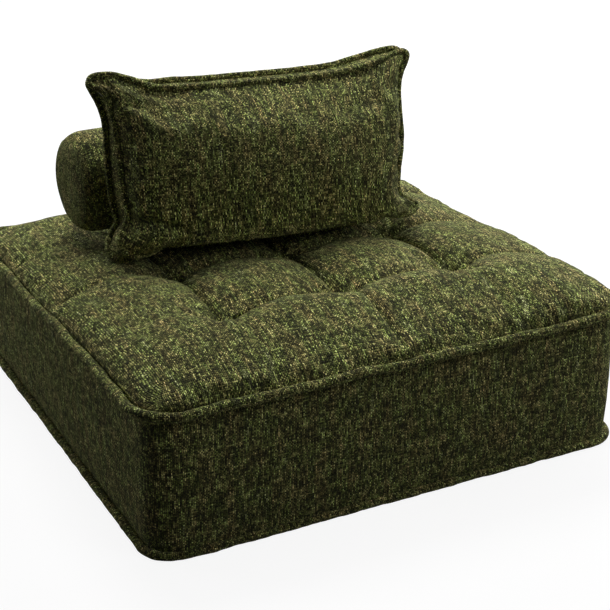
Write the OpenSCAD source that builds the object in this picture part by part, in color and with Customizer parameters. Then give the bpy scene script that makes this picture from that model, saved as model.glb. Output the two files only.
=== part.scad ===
// One square seat of a modular sofa: a tufted pouf on a timber frame, with a loose
// leaning pillow and a loose bolster roll. Millimetres, +Z up, front towards -Y,
// origin on the floor under the middle of the seat.

/* [Seat] */
// Width and depth of the seat over its top welt
seat_side = 1013; // [800:1:1150]
// How far the top welt stands out past the bottom welt, on each side
top_overhang = 15; // [8:0.5:20]
// Radius of the upright corners at the top seam
corner_r = 62; // [50:1:90]
// Height of the top seam above the floor
seam_z = 283; // [255:1:330]
// Height of the seat's crown above the top seam
crown_h = 69; // [50:1:90]
// Width of the rolled-down edge of the seat
edge_roll = 150; // [100:1:200]
// How far the side panels bulge out past the bottom seam
side_bulge = 12; // [9:0.5:16]
// Radius of the rolled welts round the seat
welt_r = 7; // [4:0.25:9]
// Thickness of the cover with its fibre backing
cover_t = 3; // [1.5:0.1:4]

/* [Tufts] */
// Distance between neighbouring tufts
tuft_pitch = 245; // [200:1:260]
// Depth of the sewn valleys between the tufts
valley_depth = 26; // [10:1:34]
// Further depth of the dimple at a tuft
tuft_depth = 40; // [15:1:50]
// Reach of the dimple round a tuft
tuft_reach = 46; // [25:1:70]

/* [Frame] */
// Thickness of the side foam between frame and cover
side_foam_t = 20; // [12:1:30]
// Height of the webbing deck above the floor
deck_z = 180; // [150:1:200]
// Thickness of a frame rail
rail_t = 28; // [20:1:36]
// Height of a frame rail
rail_h = 50; // [40:1:60]
// Side of a square corner post
post_side = 45; // [36:1:55]
// Width of a webbing strap
strap_w = 60; // [40:1:80]
// Thickness of a webbing strap
strap_t = 1.6; // [1:0.1:2.5]
// Height of the firm foam's top above the webbing felt
firm_foam_h = 64; // [40:1:68]

/* [Pillow] */
// Width of the pillow from ear to ear
pillow_w = 668; // [500:1:760]
// Height of the pillow from ear to ear
pillow_h = 336; // [280:1:400]
// How far the pillow leans back, in degrees
pillow_lean = 15.2; // [8:0.1:20]
// How far the pillow is turned on the seat, in degrees
pillow_turn = -3.8; // [-8:0.1:8]
// Place of the pillow's middle to the right of the seat's middle
pillow_x = -4; // [-40:1:40]
// Distance of the pillow's middle from the seat's back edge
pillow_setback = 426.5; // [390:0.5:465]
// Width of the side band between the pillow's two welts
gusset_w = 50; // [34:1:70]
// Crown of the pillow's front panel
front_crown = 58; // [30:1:75]
// Crown of the pillow's back panel, pressed by the bolster
back_crown = 42; // [30:1:60]
// How far the pillow's short sides are drawn in between the ears
draw_in_x = 20; // [8:1:30]
// How far the pillow's long sides are drawn in between the ears
draw_in_z = 28; // [20:1:40]
// Radius of the pillow's rolled welts
pillow_welt_r = 6; // [4:0.25:7]
// Thickness of the pillow's fabric
fabric_t = 2.5; // [1.5:0.1:3]

/* [Bolster] */
// Radius of the bolster roll
bolster_r = 104; // [80:1:115]
// Length of the bolster roll
bolster_l = 735; // [600:1:860]
// Radius of the bolster's rounded ends
bolster_edge_r = 50; // [30:1:60]

/* [Zips] */
// Half the length of the pillow's zip
pillow_zip_half = 130; // [80:1:150]
// Half the length of the bolster's zip
bolster_zip_half = 240; // [120:1:260]
// Width of a zip tape
tape_w = 24; // [18:1:28]
// Width of a zip chain
chain_w = 5; // [4:0.5:7]

/* [Hidden] */
$fn = 64;

green = [0.16, 0.19, 0.07];
dark_green = [0.11, 0.13, 0.05];
timber = [0.78, 0.62, 0.42];
foam = [0.92, 0.88, 0.72];

// Gap left where a soft piece lies against another
rest_gap = 0.3;
// Gap left between sewn pieces that meet along a seam
seam_gap = 0.2;
// Overrun of every cut past the face that it opens
cut_over = 1;

// Seat outline: half its width at the top seam, at the bottom seam and at the corner centres
top_half = seat_side / 2 - 2 * welt_r - seam_gap;
base_half = top_half - top_overhang + seam_gap;
corner_c = top_half - corner_r;
// Lift of the bottom welt above the floor
welt_lift = 3.5;
bottom_seam_z = welt_lift + welt_r;
// Side panel: heights between the seams, and the part of the bulge that each has
side_height_shares = [0, 0.035, 0.1, 0.28, 0.52, 0.76, 0.92];
side_bulge_shares = [0, 0.1, 0.62, 1, 0.92, 0.7, 0.64];
// Share of that bulge which the soft foam fills
foam_bulge_share = 0.62;
// Steps round each upright corner
corner_steps = 6;

// Fullness of the rolled edge, as a power
edge_power_share = 0.8;
// Fullness of the billows between the valleys, as a power
billow_power_share = 0.85;
// Half the width of the small level patch that each tuft tie holds down
tie_cell = 4;
// Lines of the seat's surface between two tufts and out to the edge
cell_shares = [0.16, 0.5, 0.84];
margin_shares = [0.14, 0.36, 0.62, 0.83];
// Part of the margin over which the outer billow rises
outer_rise_share = 0.5;

// Frame
glide_h = 6;
dust_t = 1;
frame_z = glide_h + dust_t;
frame_half = base_half - cover_t - side_foam_t - rest_gap;
post_c = frame_half - rail_t - post_side / 2;
strut_w = 45;
strut_t = 28;
screw_r = 3;
screw_head_r = 6;
screw_head_h = 3.5;
screw_l = 55;
screw_gap = 0.1;
// How far the screws of neighbouring rails stand apart in a post, half of it each way
screw_shift = 10;

// Deck
strap_fold = 25;
felt_t = 3;
felt_z = deck_z + 2 * strap_t;
firm_z = felt_z + felt_t;
soft_z = firm_z + firm_foam_h;

// Tufts
tie_r = 1.5;
tie_bore_r = 3;
knot_r = 4;
bar_w = 14;
bar_t = 8;
bar_bearing = 20;

// Glides
glide_r = 20;
glide_recess_h = 3;
glide_screw_l = 16;
glide_screw_r = 2.5;
glide_head_r = 5;
glide_head_h = 2.5;

// Zips
tape_t = 0.8;
chain_t = 1.8;
slider_l = 14;
slider_wall = 2;
slider_floor = 2;
slider_gap = 0.3;
pull_l = 26;
pull_w = 6;
pull_t = 1.5;
// Length of bare tape past each end of the chain
tape_end = 5;
// Angle of the bolster's zip below the horizontal, behind it
bolster_zip_angle = 30;

// Number of tufts in each row
tuft_count = 3;
tufts_at = [for (i = [0 : tuft_count - 1]) (i - (tuft_count - 1) / 2) * tuft_pitch];
last_tuft = tufts_at[tuft_count - 1];
strap_pitch = tuft_pitch / 2;
straps_at = [for (i = [0 : 2 * tuft_count - 1]) (i - tuft_count + 1 / 2) * strap_pitch];

// Lines of the seat's surface, the same along X and Y
soft_foam_half = base_half + side_bulge * foam_bulge_share - cover_t - rest_gap;
margin_lines = concat([for (s = margin_shares) last_tuft + s * (top_half - last_tuft)],
    [soft_foam_half, top_half]);
tuft_lines = [for (i = [0 : tuft_count - 1]) each concat(
    [tufts_at[i] - tie_cell, tufts_at[i] + tie_cell],
    i < tuft_count - 1 ? [for (s = cell_shares) tufts_at[i] + s * tuft_pitch] : [])];
lines = concat([for (i = [len(margin_lines) - 1 : -1 : 0]) -margin_lines[i]],
    tuft_lines, margin_lines);
line_count = len(lines);

// Surface of the seat: the rolled edge, the billows and the dimples
function rise(a) =
    let (d = min(1, (top_half - abs(a)) / edge_roll))
    d <= 0 ? 0 : pow(1 - pow(1 - d, 2), edge_power_share);
function billow(a) = pow(abs(a) > last_tuft
    ? sin(90 * min(1, (abs(a) - last_tuft) / (outer_rise_share * (top_half - last_tuft))))
    : abs(sin(180 * (a - last_tuft) / tuft_pitch)), billow_power_share);
function dimple(a, b) =
    max([for (ta = tufts_at) for (tb = tufts_at) exp(-norm([a - ta, b - tb]) / tuft_reach)]);
function seat_h(a, b) = seam_z + rise(a) * rise(b)
    * (crown_h - valley_depth * (1 - (billow(a) + billow(b)) / 2) - tuft_depth * dimple(a, b));
// A point of the flat square, moved in where the corner is round
function corner_bend(a, b) =
    let (ca = abs(a) - corner_c, cb = abs(b) - corner_c)
    ca <= 0 || cb <= 0 ? [a, b] :
    let (k = max(ca, cb) / norm([ca, cb]))
    [sign(a) * (corner_c + ca * k), sign(b) * (corner_c + cb * k)];

heights = [for (a = lines) [for (b = lines) seat_h(a, b)]];
function line_below(a) = max([for (k = [0 : line_count - 2]) if (lines[k] <= a) k]);
// Height of the seat's faceted surface at a point
function seat_at(x, y) =
    let (i = line_below(x), j = line_below(y),
        s = (x - lines[i]) / (lines[i + 1] - lines[i]),
        t = (y - lines[j]) / (lines[j + 1] - lines[j]),
        z = heights[i][j], z_far = heights[i + 1][j + 1])
    s >= t
        ? z + s * (heights[i + 1][j] - z) + t * (z_far - heights[i + 1][j])
        : z + t * (heights[i][j + 1] - z) + s * (z_far - heights[i][j + 1]);

// Closed skin through loops of points that themselves form a loop, such as a band or a ring
module loop_skin(loops) {
    n = len(loops);
    m = len(loops[0]);
    points = [for (l = loops) each l];
    faces = [for (i = [0 : n - 1]) for (j = [0 : m - 1])
        let (a = i * m + j, b = i * m + (j + 1) % m,
            c = ((i + 1) % n) * m + (j + 1) % m, d = ((i + 1) % n) * m + j)
        each [[a, b, c], [a, c, d]]];
    polyhedron(points, faces);
}

// Solid between an upper and a lower grid of points, open at the listed cells
module grid_solid(upper, lower, open_cells = []) {
    n = len(upper);
    m = len(upper[0]);
    points = concat([for (row = upper) each row], [for (row = lower) each row]);
    under = n * m;
    cells = [for (i = [0 : n - 2]) for (j = [0 : m - 2])
        if (len([for (c = open_cells) if (c == [i, j]) c]) == 0) i * m + j];
    holes = [for (c = open_cells) c[0] * m + c[1]];
    rim = concat([for (i = [0 : n - 2]) i * m],
        [for (j = [0 : m - 2]) (n - 1) * m + j],
        [for (i = [n - 1 : -1 : 1]) i * m + m - 1],
        [for (j = [m - 1 : -1 : 1]) j]);
    faces = concat(
        [for (c = cells) each [[c, c + m + 1, c + m], [c, c + 1, c + m + 1]]],
        [for (c = cells) each [[under + c, under + c + m, under + c + m + 1],
            [under + c, under + c + m + 1, under + c + 1]]],
        [for (k = [0 : len(rim) - 1])
            let (a = rim[k], b = rim[(k + 1) % len(rim)])
            each [[a, b, under + b], [a, under + b, under + a]]],
        [for (h = holes)
            let (ring = [h, h + 1, h + m + 1, h + m])
            for (k = [0 : 3])
                let (a = ring[k], b = ring[(k + 1) % 4])
                each [[a, b, under + b], [a, under + b, under + a]]]);
    polyhedron(points, faces);
}

// Outline of the seat at a half width, its corners round about fixed centres
function seat_outline(half, z) = [for (q = [0 : 3]) for (k = [0 : corner_steps])
    let (turn = 90 * q + 90 * k / corner_steps, side = 45 + 90 * q)
    [corner_c * sign(cos(side)) + (half - corner_c) * cos(turn),
        corner_c * sign(sin(side)) + (half - corner_c) * sin(turn), z]];

// Upright block with the seat's outline
module seat_block(half, z0, z1) {
    translate([0, 0, z0]) linear_extrude(z1 - z0) {
        square([2 * half, 2 * corner_c], center = true);
        square([2 * corner_c, 2 * half], center = true);
        for (x = [-corner_c, corner_c], y = [-corner_c, corner_c])
            translate([x, y]) circle(half - corner_c);
    }
}

module box_at(x0, x1, y0, y1, z0, z1) {
    translate([x0, y0, z0]) cube([x1 - x0, y1 - y0, z1 - z0]);
}

// Rolled welt round the seat: four straight runs and four round corners
module seat_welt(half, z) {
    bend_r = half - corner_c;
    for (q = [0 : 3]) rotate([0, 0, 90 * q]) translate([0, 0, z]) {
        translate([half, -corner_c, 0]) rotate([-90, 0, 0]) cylinder(r = welt_r, h = 2 * corner_c);
        translate([corner_c, corner_c, 0]) rotate_extrude(angle = 90)
            translate([bend_r, 0]) circle(welt_r);
    }
}

// Screw along +Y with its head's outer face at y = 0, or the bore that takes it
module frame_screw(extra) {
    rotate([-90, 0, 0]) {
        cylinder(r = screw_r + extra, h = screw_l + extra);
        cylinder(r = screw_head_r + extra, h = screw_head_h);
    }
}

// Every frame screw, two in each end of a rail's pair
module each_frame_screw(extra = 0) {
    for (q = [0 : 3], side = [-1, 1], z = [frame_z + rail_h / 2, deck_z - rail_h / 2])
        rotate([0, 0, 90 * q])
            translate([side * post_c, -frame_half, z + (q % 2 == 0 ? screw_shift : -screw_shift)])
                frame_screw(extra);
}

glide_places = concat([for (x = [-post_c, post_c]) for (y = [-post_c, post_c]) [x, y]], [[0, 0]]);

module each_glide_screw(extra = 0) {
    for (p = glide_places) translate([p[0], p[1], glide_recess_h - glide_head_h]) {
        cylinder(r = glide_screw_r + extra, h = glide_screw_l + extra);
        cylinder(r = glide_head_r + extra, h = glide_head_h);
    }
}

module long_rail(side, z0) {
    outer = side * frame_half;
    inner = side * (frame_half - rail_t);
    color(timber) difference() {
        box_at(-frame_half, frame_half, min(outer, inner), max(outer, inner), z0, z0 + rail_h);
        each_frame_screw(screw_gap);
    }
}

module short_rail(side, z0) {
    outer = side * frame_half;
    inner = side * (frame_half - rail_t);
    reach = frame_half - rail_t;
    color(timber) difference() {
        box_at(min(outer, inner), max(outer, inner), -reach, reach, z0, z0 + rail_h);
        each_frame_screw(screw_gap);
    }
}

module lower_rail_front() { long_rail(-1, frame_z); }
module lower_rail_back() { long_rail(1, frame_z); }
module lower_rail_left() { short_rail(-1, frame_z); }
module lower_rail_right() { short_rail(1, frame_z); }
module upper_rail_front() { long_rail(-1, deck_z - rail_h); }
module upper_rail_back() { long_rail(1, deck_z - rail_h); }
module upper_rail_left() { short_rail(-1, deck_z - rail_h); }
module upper_rail_right() { short_rail(1, deck_z - rail_h); }

module corner_posts() {
    color(timber) difference() {
        for (x = [-post_c, post_c], y = [-post_c, post_c])
            box_at(x - post_side / 2, x + post_side / 2, y - post_side / 2, y + post_side / 2,
                frame_z, deck_z);
        each_frame_screw(screw_gap);
        each_glide_screw(screw_gap);
    }
}

// Upright strut against the middle of each pair of rails
module middle_struts() {
    reach = frame_half - rail_t;
    color(timber) for (q = [0 : 3]) rotate([0, 0, 90 * q])
        box_at(-strut_w / 2, strut_w / 2, -reach, strut_t - reach, frame_z, deck_z);
}

module floor_stretcher() {
    reach = frame_half - rail_t - strut_t;
    color(timber) difference() {
        box_at(-rail_t / 2, rail_t / 2, -reach, reach, frame_z, frame_z + rail_h);
        each_glide_screw(screw_gap);
    }
}

module frame_screws() { color("silver") each_frame_screw(); }

// Straps that run along X on the rails, their ends folded on top
module webbing_left_right() {
    color("tan") for (y = straps_at) translate([0, y - strap_w / 2, deck_z]) {
        translate([-frame_half, 0, 0]) cube([2 * frame_half, strap_w, strap_t]);
        for (x = [-frame_half, frame_half - strap_fold])
            translate([x, 0, strap_t]) cube([strap_fold, strap_w, strap_t]);
    }
}

// Straps that cross over them, their ends folded under
module webbing_front_back() {
    color("wheat") for (x = straps_at) translate([x - strap_w / 2, 0, deck_z]) {
        translate([0, -frame_half, strap_t]) cube([strap_w, 2 * frame_half, strap_t]);
        for (y = [-frame_half, frame_half - strap_fold])
            translate([0, y, 0]) cube([strap_w, strap_fold, strap_t]);
    }
}

module each_tuft() { for (x = tufts_at, y = tufts_at) translate([x, y, 0]) children(); }

module tie_bores(z0, z1) {
    each_tuft() translate([0, 0, z0 - cut_over]) cylinder(r = tie_bore_r, h = z1 - z0 + 2 * cut_over);
}

module webbing_felt() {
    color("dimgray") difference() {
        box_at(-frame_half, frame_half, -frame_half, frame_half, felt_z, felt_z + felt_t);
        tie_bores(felt_z, felt_z + felt_t);
    }
}

side_foam_half = frame_half + side_foam_t;

module firm_foam() {
    color(foam) difference() {
        seat_block(side_foam_half, firm_z, soft_z);
        tie_bores(firm_z, soft_z);
    }
}

// Soft foam whose top follows the tufted cover
module soft_foam() {
    inner = [for (i = [1 : line_count - 2]) lines[i]];
    upper = [for (a = inner) [for (b = inner)
        let (p = corner_bend(a, b)) [p[0], p[1], seat_h(a, b) - cover_t - rest_gap]]];
    lower = [for (row = upper) [for (p = row) [p[0], p[1], soft_z]]];
    tied = [for (i = [0 : len(inner) - 2]) for (t = tufts_at) if (inner[i] == t - tie_cell) i];
    color(foam) grid_solid(upper, lower, [for (i = tied) for (j = tied) [i, j]]);
}

// Foam on the frame's sides, the long ones with the round corners
module side_foam(x_side, y_side) {
    reach = side_foam_half + cut_over;
    color(foam) intersection() {
        difference() {
            seat_block(side_foam_half, frame_z, felt_z + felt_t);
            box_at(-frame_half, frame_half, -frame_half, frame_half,
                frame_z - cut_over, felt_z + felt_t + cut_over);
        }
        if (x_side == 0)
            box_at(-reach, reach, min(y_side * frame_half, y_side * reach),
                max(y_side * frame_half, y_side * reach), 0, firm_z);
        else
            box_at(min(x_side * frame_half, x_side * reach),
                max(x_side * frame_half, x_side * reach), -frame_half, frame_half, 0, firm_z);
    }
}
module side_foam_front() { side_foam(0, -1); }
module side_foam_back() { side_foam(0, 1); }
module side_foam_left() { side_foam(-1, 0); }
module side_foam_right() { side_foam(1, 0); }

// Tufted top panel of the cover
module seat_cover_top() {
    upper = [for (a = lines) [for (b = lines)
        let (p = corner_bend(a, b)) [p[0], p[1], seat_h(a, b)]]];
    lower = [for (row = upper) [for (p = row) [p[0], p[1], p[2] - cover_t]]];
    color(green) grid_solid(upper, lower);
}

// Side band of the cover, from the bottom seam to the top seam
module seat_cover_sides() {
    z_top = seam_z - cover_t - seam_gap;
    outer = concat([for (k = [0 : len(side_height_shares) - 1])
        [base_half + side_bulge * side_bulge_shares[k],
            bottom_seam_z + side_height_shares[k] * (z_top - bottom_seam_z)]],
        [[top_half, z_top]]);
    levels = concat(outer, [for (k = [len(outer) - 1 : -1 : 0]) [outer[k][0] - cover_t, outer[k][1]]]);
    color(dark_green) loop_skin([for (l = levels) seat_outline(l[0], l[1])]);
}

module seat_welt_top() { color(green) seat_welt(top_half + welt_r + seam_gap, seam_z - cover_t / 2); }
module seat_welt_bottom() { color(dark_green) seat_welt(base_half + welt_r + seam_gap, bottom_seam_z); }

bar_z = deck_z - bar_t;

// Twine that pulls each tuft down, knotted under its bar
module tuft_ties() {
    color("ivory") for (x = tufts_at, y = tufts_at) translate([x, y, bar_z - knot_r]) {
        sphere(knot_r);
        cylinder(r = tie_r, h = seat_h(x + tie_cell, y + tie_cell) - cover_t - rest_gap - bar_z + knot_r);
    }
}

// Bar under the two nearest straps, with a hole for the tie
module tuft_anchor_bars() {
    bar_l = strap_pitch - strap_w + 2 * bar_bearing;
    color("slategray") each_tuft() difference() {
        box_at(-bar_w / 2, bar_w / 2, -bar_l / 2, bar_l / 2, bar_z, deck_z);
        translate([0, 0, bar_z - cut_over]) cylinder(r = tie_r + screw_gap, h = bar_t + 2 * cut_over);
    }
}

module dust_cover() {
    color("black") difference() {
        seat_block(side_foam_half, glide_h, frame_z);
        each_glide_screw(screw_gap);
    }
}

module glides() {
    color("dimgray") difference() {
        for (p = glide_places) translate([p[0], p[1], 0]) cylinder(r = glide_r, h = glide_h);
        each_glide_screw(screw_gap);
        for (p = glide_places) translate([p[0], p[1], -cut_over])
            cylinder(r = glide_head_r + screw_gap, h = glide_recess_h - glide_head_h + 2 * cut_over);
    }
}

module glide_screws() { color("silver") each_glide_screw(); }

// Pillow, in its own upright frame: X along its width, Z up, front towards -Y.
// Lines of its panels, as shares of its half width and half height
pillow_u_shares = [-1, -0.92, -0.82, -0.7, -0.54, -0.34, -0.11, 0.11, 0.34, 0.54, 0.7, 0.82, 0.92, 1];
pillow_v_shares = [-1, -0.85, -0.7, -0.52, -0.3, 0, 0.3, 0.52, 0.7, 0.85, 1];
// Part of the band's width that is pinched away at the ears
ear_pinch_share = 0.62;
// Fullness of the pillow's crown, as a power
crown_power_share = 0.55;
// Powers that hold the edges straight and the pinch close to the ears
draw_power = 4;
pinch_power = 5;
pillow_edge = 2 * pillow_welt_r + seam_gap;
// Place of the pillow's middle behind the seat's middle
pillow_y = seat_side / 2 - pillow_setback;
tube_sides = 8;

function pillow_place(u, v, inset) = [
    u * (pillow_w / 2 - inset - draw_in_x * (1 - pow(abs(v), draw_power))),
    v * (pillow_h / 2 - inset - draw_in_z * (1 - pow(abs(u), draw_power)))];
// Inward direction at a place on the pillow's edge, halfway between its two sides at an ear
function inward(u, v) = let (
    along_side = [u * sign(v) * draw_in_x * draw_power * pow(abs(v), draw_power - 1),
        pillow_h / 2 - pillow_welt_r],
    along_top = [pillow_w / 2 - pillow_welt_r,
        v * sign(u) * draw_in_z * draw_power * pow(abs(u), draw_power - 1)],
    from_side = -sign(u) * [along_side[1], -along_side[0]] / norm(along_side),
    from_top = -sign(v) * [-along_top[1], along_top[0]] / norm(along_top))
    abs(u) < 1 ? from_top : abs(v) < 1 ? from_side
        : (from_side + from_top) / norm(from_side + from_top);
// Place on the edge, set in from the welts' centre line
function seam_place(u, v, inset) = pillow_place(u, v, pillow_welt_r) + inset * inward(u, v);
function half_gusset(u, v) = gusset_w / 2 * (1 - ear_pinch_share * pow(abs(u * v), pinch_power));
function pillow_crown(u, v) = pow((1 - u * u) * (1 - v * v), crown_power_share);
// One surface of the pillow: side is -1 for the front, out is added along that side
function pillow_grid(u_list, v_list, side, crown, out) = [for (u = u_list) [for (v = v_list)
    let (p = max(abs(u), abs(v)) == 1
        ? seam_place(u, v, pillow_welt_r + seam_gap) : pillow_place(u, v, pillow_edge))
    [p[0], side * (half_gusset(u, v) + crown * pillow_crown(u, v) + out), p[1]]]];

// Places round the pillow's edge, as shares, anticlockwise seen from the front
u_last = len(pillow_u_shares) - 1;
v_last = len(pillow_v_shares) - 1;
pillow_rim = concat([for (i = [0 : u_last - 1]) [pillow_u_shares[i], -1]],
    [for (j = [0 : v_last - 1]) [1, pillow_v_shares[j]]],
    [for (i = [u_last : -1 : 1]) [pillow_u_shares[i], 1]],
    [for (j = [v_last : -1 : 1]) [-1, pillow_v_shares[j]]]);
rim_count = len(pillow_rim);

function rim_place(k, inset) =
    let (uv = pillow_rim[k]) seam_place(uv[0], uv[1], inset);
// Ring of the rolled welt at a place on the rim
function welt_ring(k, side) =
    let (uv = pillow_rim[k], c = rim_place(k, 0), out = -inward(uv[0], uv[1]),
        y = side * (half_gusset(uv[0], uv[1]) + fabric_t / 2))
    [for (s = [0 : tube_sides - 1])
        let (a = 360 * s / tube_sides)
        [c[0] + pillow_welt_r * cos(a) * out[0], y + pillow_welt_r * sin(a),
            c[1] + pillow_welt_r * cos(a) * out[1]]];
function welt_rings(side) = [for (k = [0 : rim_count - 1]) welt_ring(k, side)];

function leaned(p) = [p[0], p[1] * cos(pillow_lean) + p[2] * sin(pillow_lean),
    p[2] * cos(pillow_lean) - p[1] * sin(pillow_lean)];
function turned(p) = [pillow_x + p[0] * cos(pillow_turn) - p[1] * sin(pillow_turn),
    pillow_y + p[0] * sin(pillow_turn) + p[1] * cos(pillow_turn), p[2]];
function on_seat(p) = turned(leaned(p));

// The pillow is let down until the lowest of its welts lies on the seat
pillow_z = rest_gap + max([for (side = [-1, 1]) for (ring = welt_rings(side)) for (p = ring)
    if (p[2] < 0) let (w = on_seat(p)) seat_at(w[0], w[1]) - w[2]]);

module as_pillow() {
    translate([pillow_x, pillow_y, pillow_z]) rotate([0, 0, pillow_turn])
        rotate([-pillow_lean, 0, 0]) children();
}

module pillow_filling() {
    u_inner = [for (i = [1 : u_last - 1]) pillow_u_shares[i]];
    v_inner = [for (j = [1 : v_last - 1]) pillow_v_shares[j]];
    color("white") as_pillow()
        grid_solid(pillow_grid(u_inner, v_inner, -1, front_crown, -rest_gap),
            pillow_grid(u_inner, v_inner, 1, back_crown, -rest_gap));
}

module pillow_front_panel() {
    color(green) as_pillow()
        grid_solid(pillow_grid(pillow_u_shares, pillow_v_shares, -1, front_crown, fabric_t),
            pillow_grid(pillow_u_shares, pillow_v_shares, -1, front_crown, 0));
}

module pillow_back_panel() {
    color(green) as_pillow()
        grid_solid(pillow_grid(pillow_u_shares, pillow_v_shares, 1, back_crown, 0),
            pillow_grid(pillow_u_shares, pillow_v_shares, 1, back_crown, fabric_t));
}

// Narrow band between the two welts
module pillow_gusset() {
    function loop(side, inset) = [for (k = [0 : rim_count - 1])
        let (uv = pillow_rim[k], p = rim_place(k, inset))
        [p[0], side * (half_gusset(uv[0], uv[1]) - seam_gap), p[1]]];
    outer = pillow_welt_r + seam_gap;
    color(dark_green) as_pillow() loop_skin([loop(-1, outer), loop(-1, outer + fabric_t),
        loop(1, outer + fabric_t), loop(1, outer)]);
}

module pillow_front_welt() { color(dark_green) as_pillow() loop_skin(welt_rings(-1)); }
module pillow_back_welt() { color(dark_green) as_pillow() loop_skin(welt_rings(1)); }

// Zip under the pillow, along the middle of its bottom edge, clear of the band at its ends
pillow_zip_z = lookup(pillow_zip_half,
    [for (u = pillow_u_shares) seam_place(u, -1, pillow_welt_r + seam_gap)]) - seam_gap;

// Parts of a zip whose tape lies against z = 0, its face towards -Z
module zip_tape(half) {
    color("black") box_at(-half, half, -tape_w / 2, tape_w / 2, -tape_t, 0);
}
module zip_chain(half) {
    color("dimgray")
        box_at(tape_end - half, half - tape_end, -chain_w / 2, chain_w / 2, -tape_t - chain_t, -tape_t);
}
slider_top = -tape_t - slider_gap;
slider_low = -tape_t - chain_t - slider_gap - slider_floor;
module zip_slider(half) {
    width = chain_w / 2 + slider_gap + slider_wall;
    color("silver") translate([tape_end + slider_l / 2 - half, 0, 0]) difference() {
        box_at(-slider_l / 2, slider_l / 2, -width, width, slider_low, slider_top);
        box_at(-slider_l / 2 - cut_over, slider_l / 2 + cut_over, slider_wall - width,
            width - slider_wall, slider_low + slider_floor, slider_top + cut_over);
    }
}
module zip_pull(half) {
    color("silver") translate([tape_end + slider_l / 2 - half, 0, 0])
        box_at(0, pull_l, -pull_w / 2, pull_w / 2, slider_low - pull_t, slider_low);
}

module as_pillow_zip() { as_pillow() translate([0, 0, pillow_zip_z]) children(); }
module pillow_zip_tape() { as_pillow_zip() zip_tape(pillow_zip_half); }
module pillow_zip_chain() { as_pillow_zip() zip_chain(pillow_zip_half); }
module pillow_zip_slider() { as_pillow_zip() zip_slider(pillow_zip_half); }
module pillow_zip_pull() { as_pillow_zip() zip_pull(pillow_zip_half); }

// Bolster: let down on the seat, then moved back until it only just bears the pillow
bolster_steps = 12;
bolster_lines = [for (k = [0 : line_count - 2]) if (abs(lines[k]) < bolster_l / 2)
    each [lines[k], (lines[k] + lines[k + 1]) / 2]];
function bolster_rest(y) = rest_gap + max([for (x = bolster_lines)
    for (k = [-bolster_steps : bolster_steps])
        let (dy = bolster_r * k / bolster_steps)
        seat_at(x, y + dy) + sqrt(bolster_r * bolster_r - dy * dy)]);
// Points all over the back panel's facets, between its lines too
back_steps = 4;
back_grid = pillow_grid(pillow_u_shares, pillow_v_shares, 1, back_crown, fabric_t);
back_points = [for (i = [0 : u_last - 1]) for (j = [0 : v_last - 1])
    for (s = [0 : back_steps - 1]) for (t = [0 : back_steps - 1])
        let (a = s / back_steps, b = t / back_steps, near = back_grid[i][j],
            far = back_grid[i + 1][j + 1])
        on_seat(a >= b
            ? near + a * (back_grid[i + 1][j] - near) + b * (far - back_grid[i + 1][j])
            : near + b * (back_grid[i][j + 1] - near) + a * (far - back_grid[i][j + 1]))
            + [0, 0, pillow_z]];
function bolster_behind(z) = rest_gap + max([for (p = back_points)
    if (abs(p[2] - z) < bolster_r && abs(p[0]) < bolster_l / 2)
        p[1] + sqrt(bolster_r * bolster_r - pow(p[2] - z, 2))]);
// Two turns of the search: the roll's height sets how far back it lies, and that its height
bolster_first_y = bolster_behind(bolster_rest(last_tuft));
bolster_second_y = bolster_behind(bolster_rest(bolster_first_y));
bolster_z = bolster_rest(bolster_second_y);
bolster_y = bolster_behind(bolster_z);

// Solid roll along X with round ends
module roll(r, l, edge) {
    rotate([0, 90, 0]) translate([0, 0, -l / 2]) rotate_extrude() {
        square([r - edge, l]);
        translate([0, edge]) square([r, l - 2 * edge]);
        intersection() {
            square([r, l]);
            union() {
                translate([r - edge, edge]) circle(edge);
                translate([r - edge, l - edge]) circle(edge);
            }
        }
    }
}

module as_bolster() { translate([0, bolster_y, bolster_z]) children(); }

// Half the length of the wrap, which is sewn to the ends part of the way round the edge
wrap_half = bolster_l / 2 - bolster_edge_r * (1 - sin(45));

module bolster_skin() {
    inner = bolster_r - fabric_t;
    difference() {
        roll(bolster_r, bolster_l, bolster_edge_r);
        roll(inner, bolster_l - 2 * fabric_t, bolster_edge_r - fabric_t);
    }
}

module bolster_foam() {
    skin = fabric_t + rest_gap;
    color(foam) as_bolster() roll(bolster_r - skin, bolster_l - 2 * skin, bolster_edge_r - skin);
}

module bolster_wrap() {
    reach = bolster_r + cut_over;
    color(green) as_bolster() intersection() {
        bolster_skin();
        box_at(-wrap_half, wrap_half, -reach, reach, -reach, reach);
    }
}

module bolster_end(side) {
    reach = bolster_r + cut_over;
    near = side * (wrap_half + seam_gap);
    far = side * (bolster_l / 2 + cut_over);
    color(dark_green) as_bolster() intersection() {
        bolster_skin();
        box_at(min(near, far), max(near, far), -reach, reach, -reach, reach);
    }
}
module bolster_end_left() { bolster_end(-1); }
module bolster_end_right() { bolster_end(1); }

// Zip along the back of the bolster
module as_bolster_zip() {
    as_bolster() rotate([90 - bolster_zip_angle, 0, 0])
        translate([0, 0, -bolster_r - seam_gap]) children();
}
module bolster_zip_tape() { as_bolster_zip() zip_tape(bolster_zip_half); }
module bolster_zip_chain() { as_bolster_zip() zip_chain(bolster_zip_half); }
module bolster_zip_slider() { as_bolster_zip() zip_slider(bolster_zip_half); }
module bolster_zip_pull() { as_bolster_zip() zip_pull(bolster_zip_half); }

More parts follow.
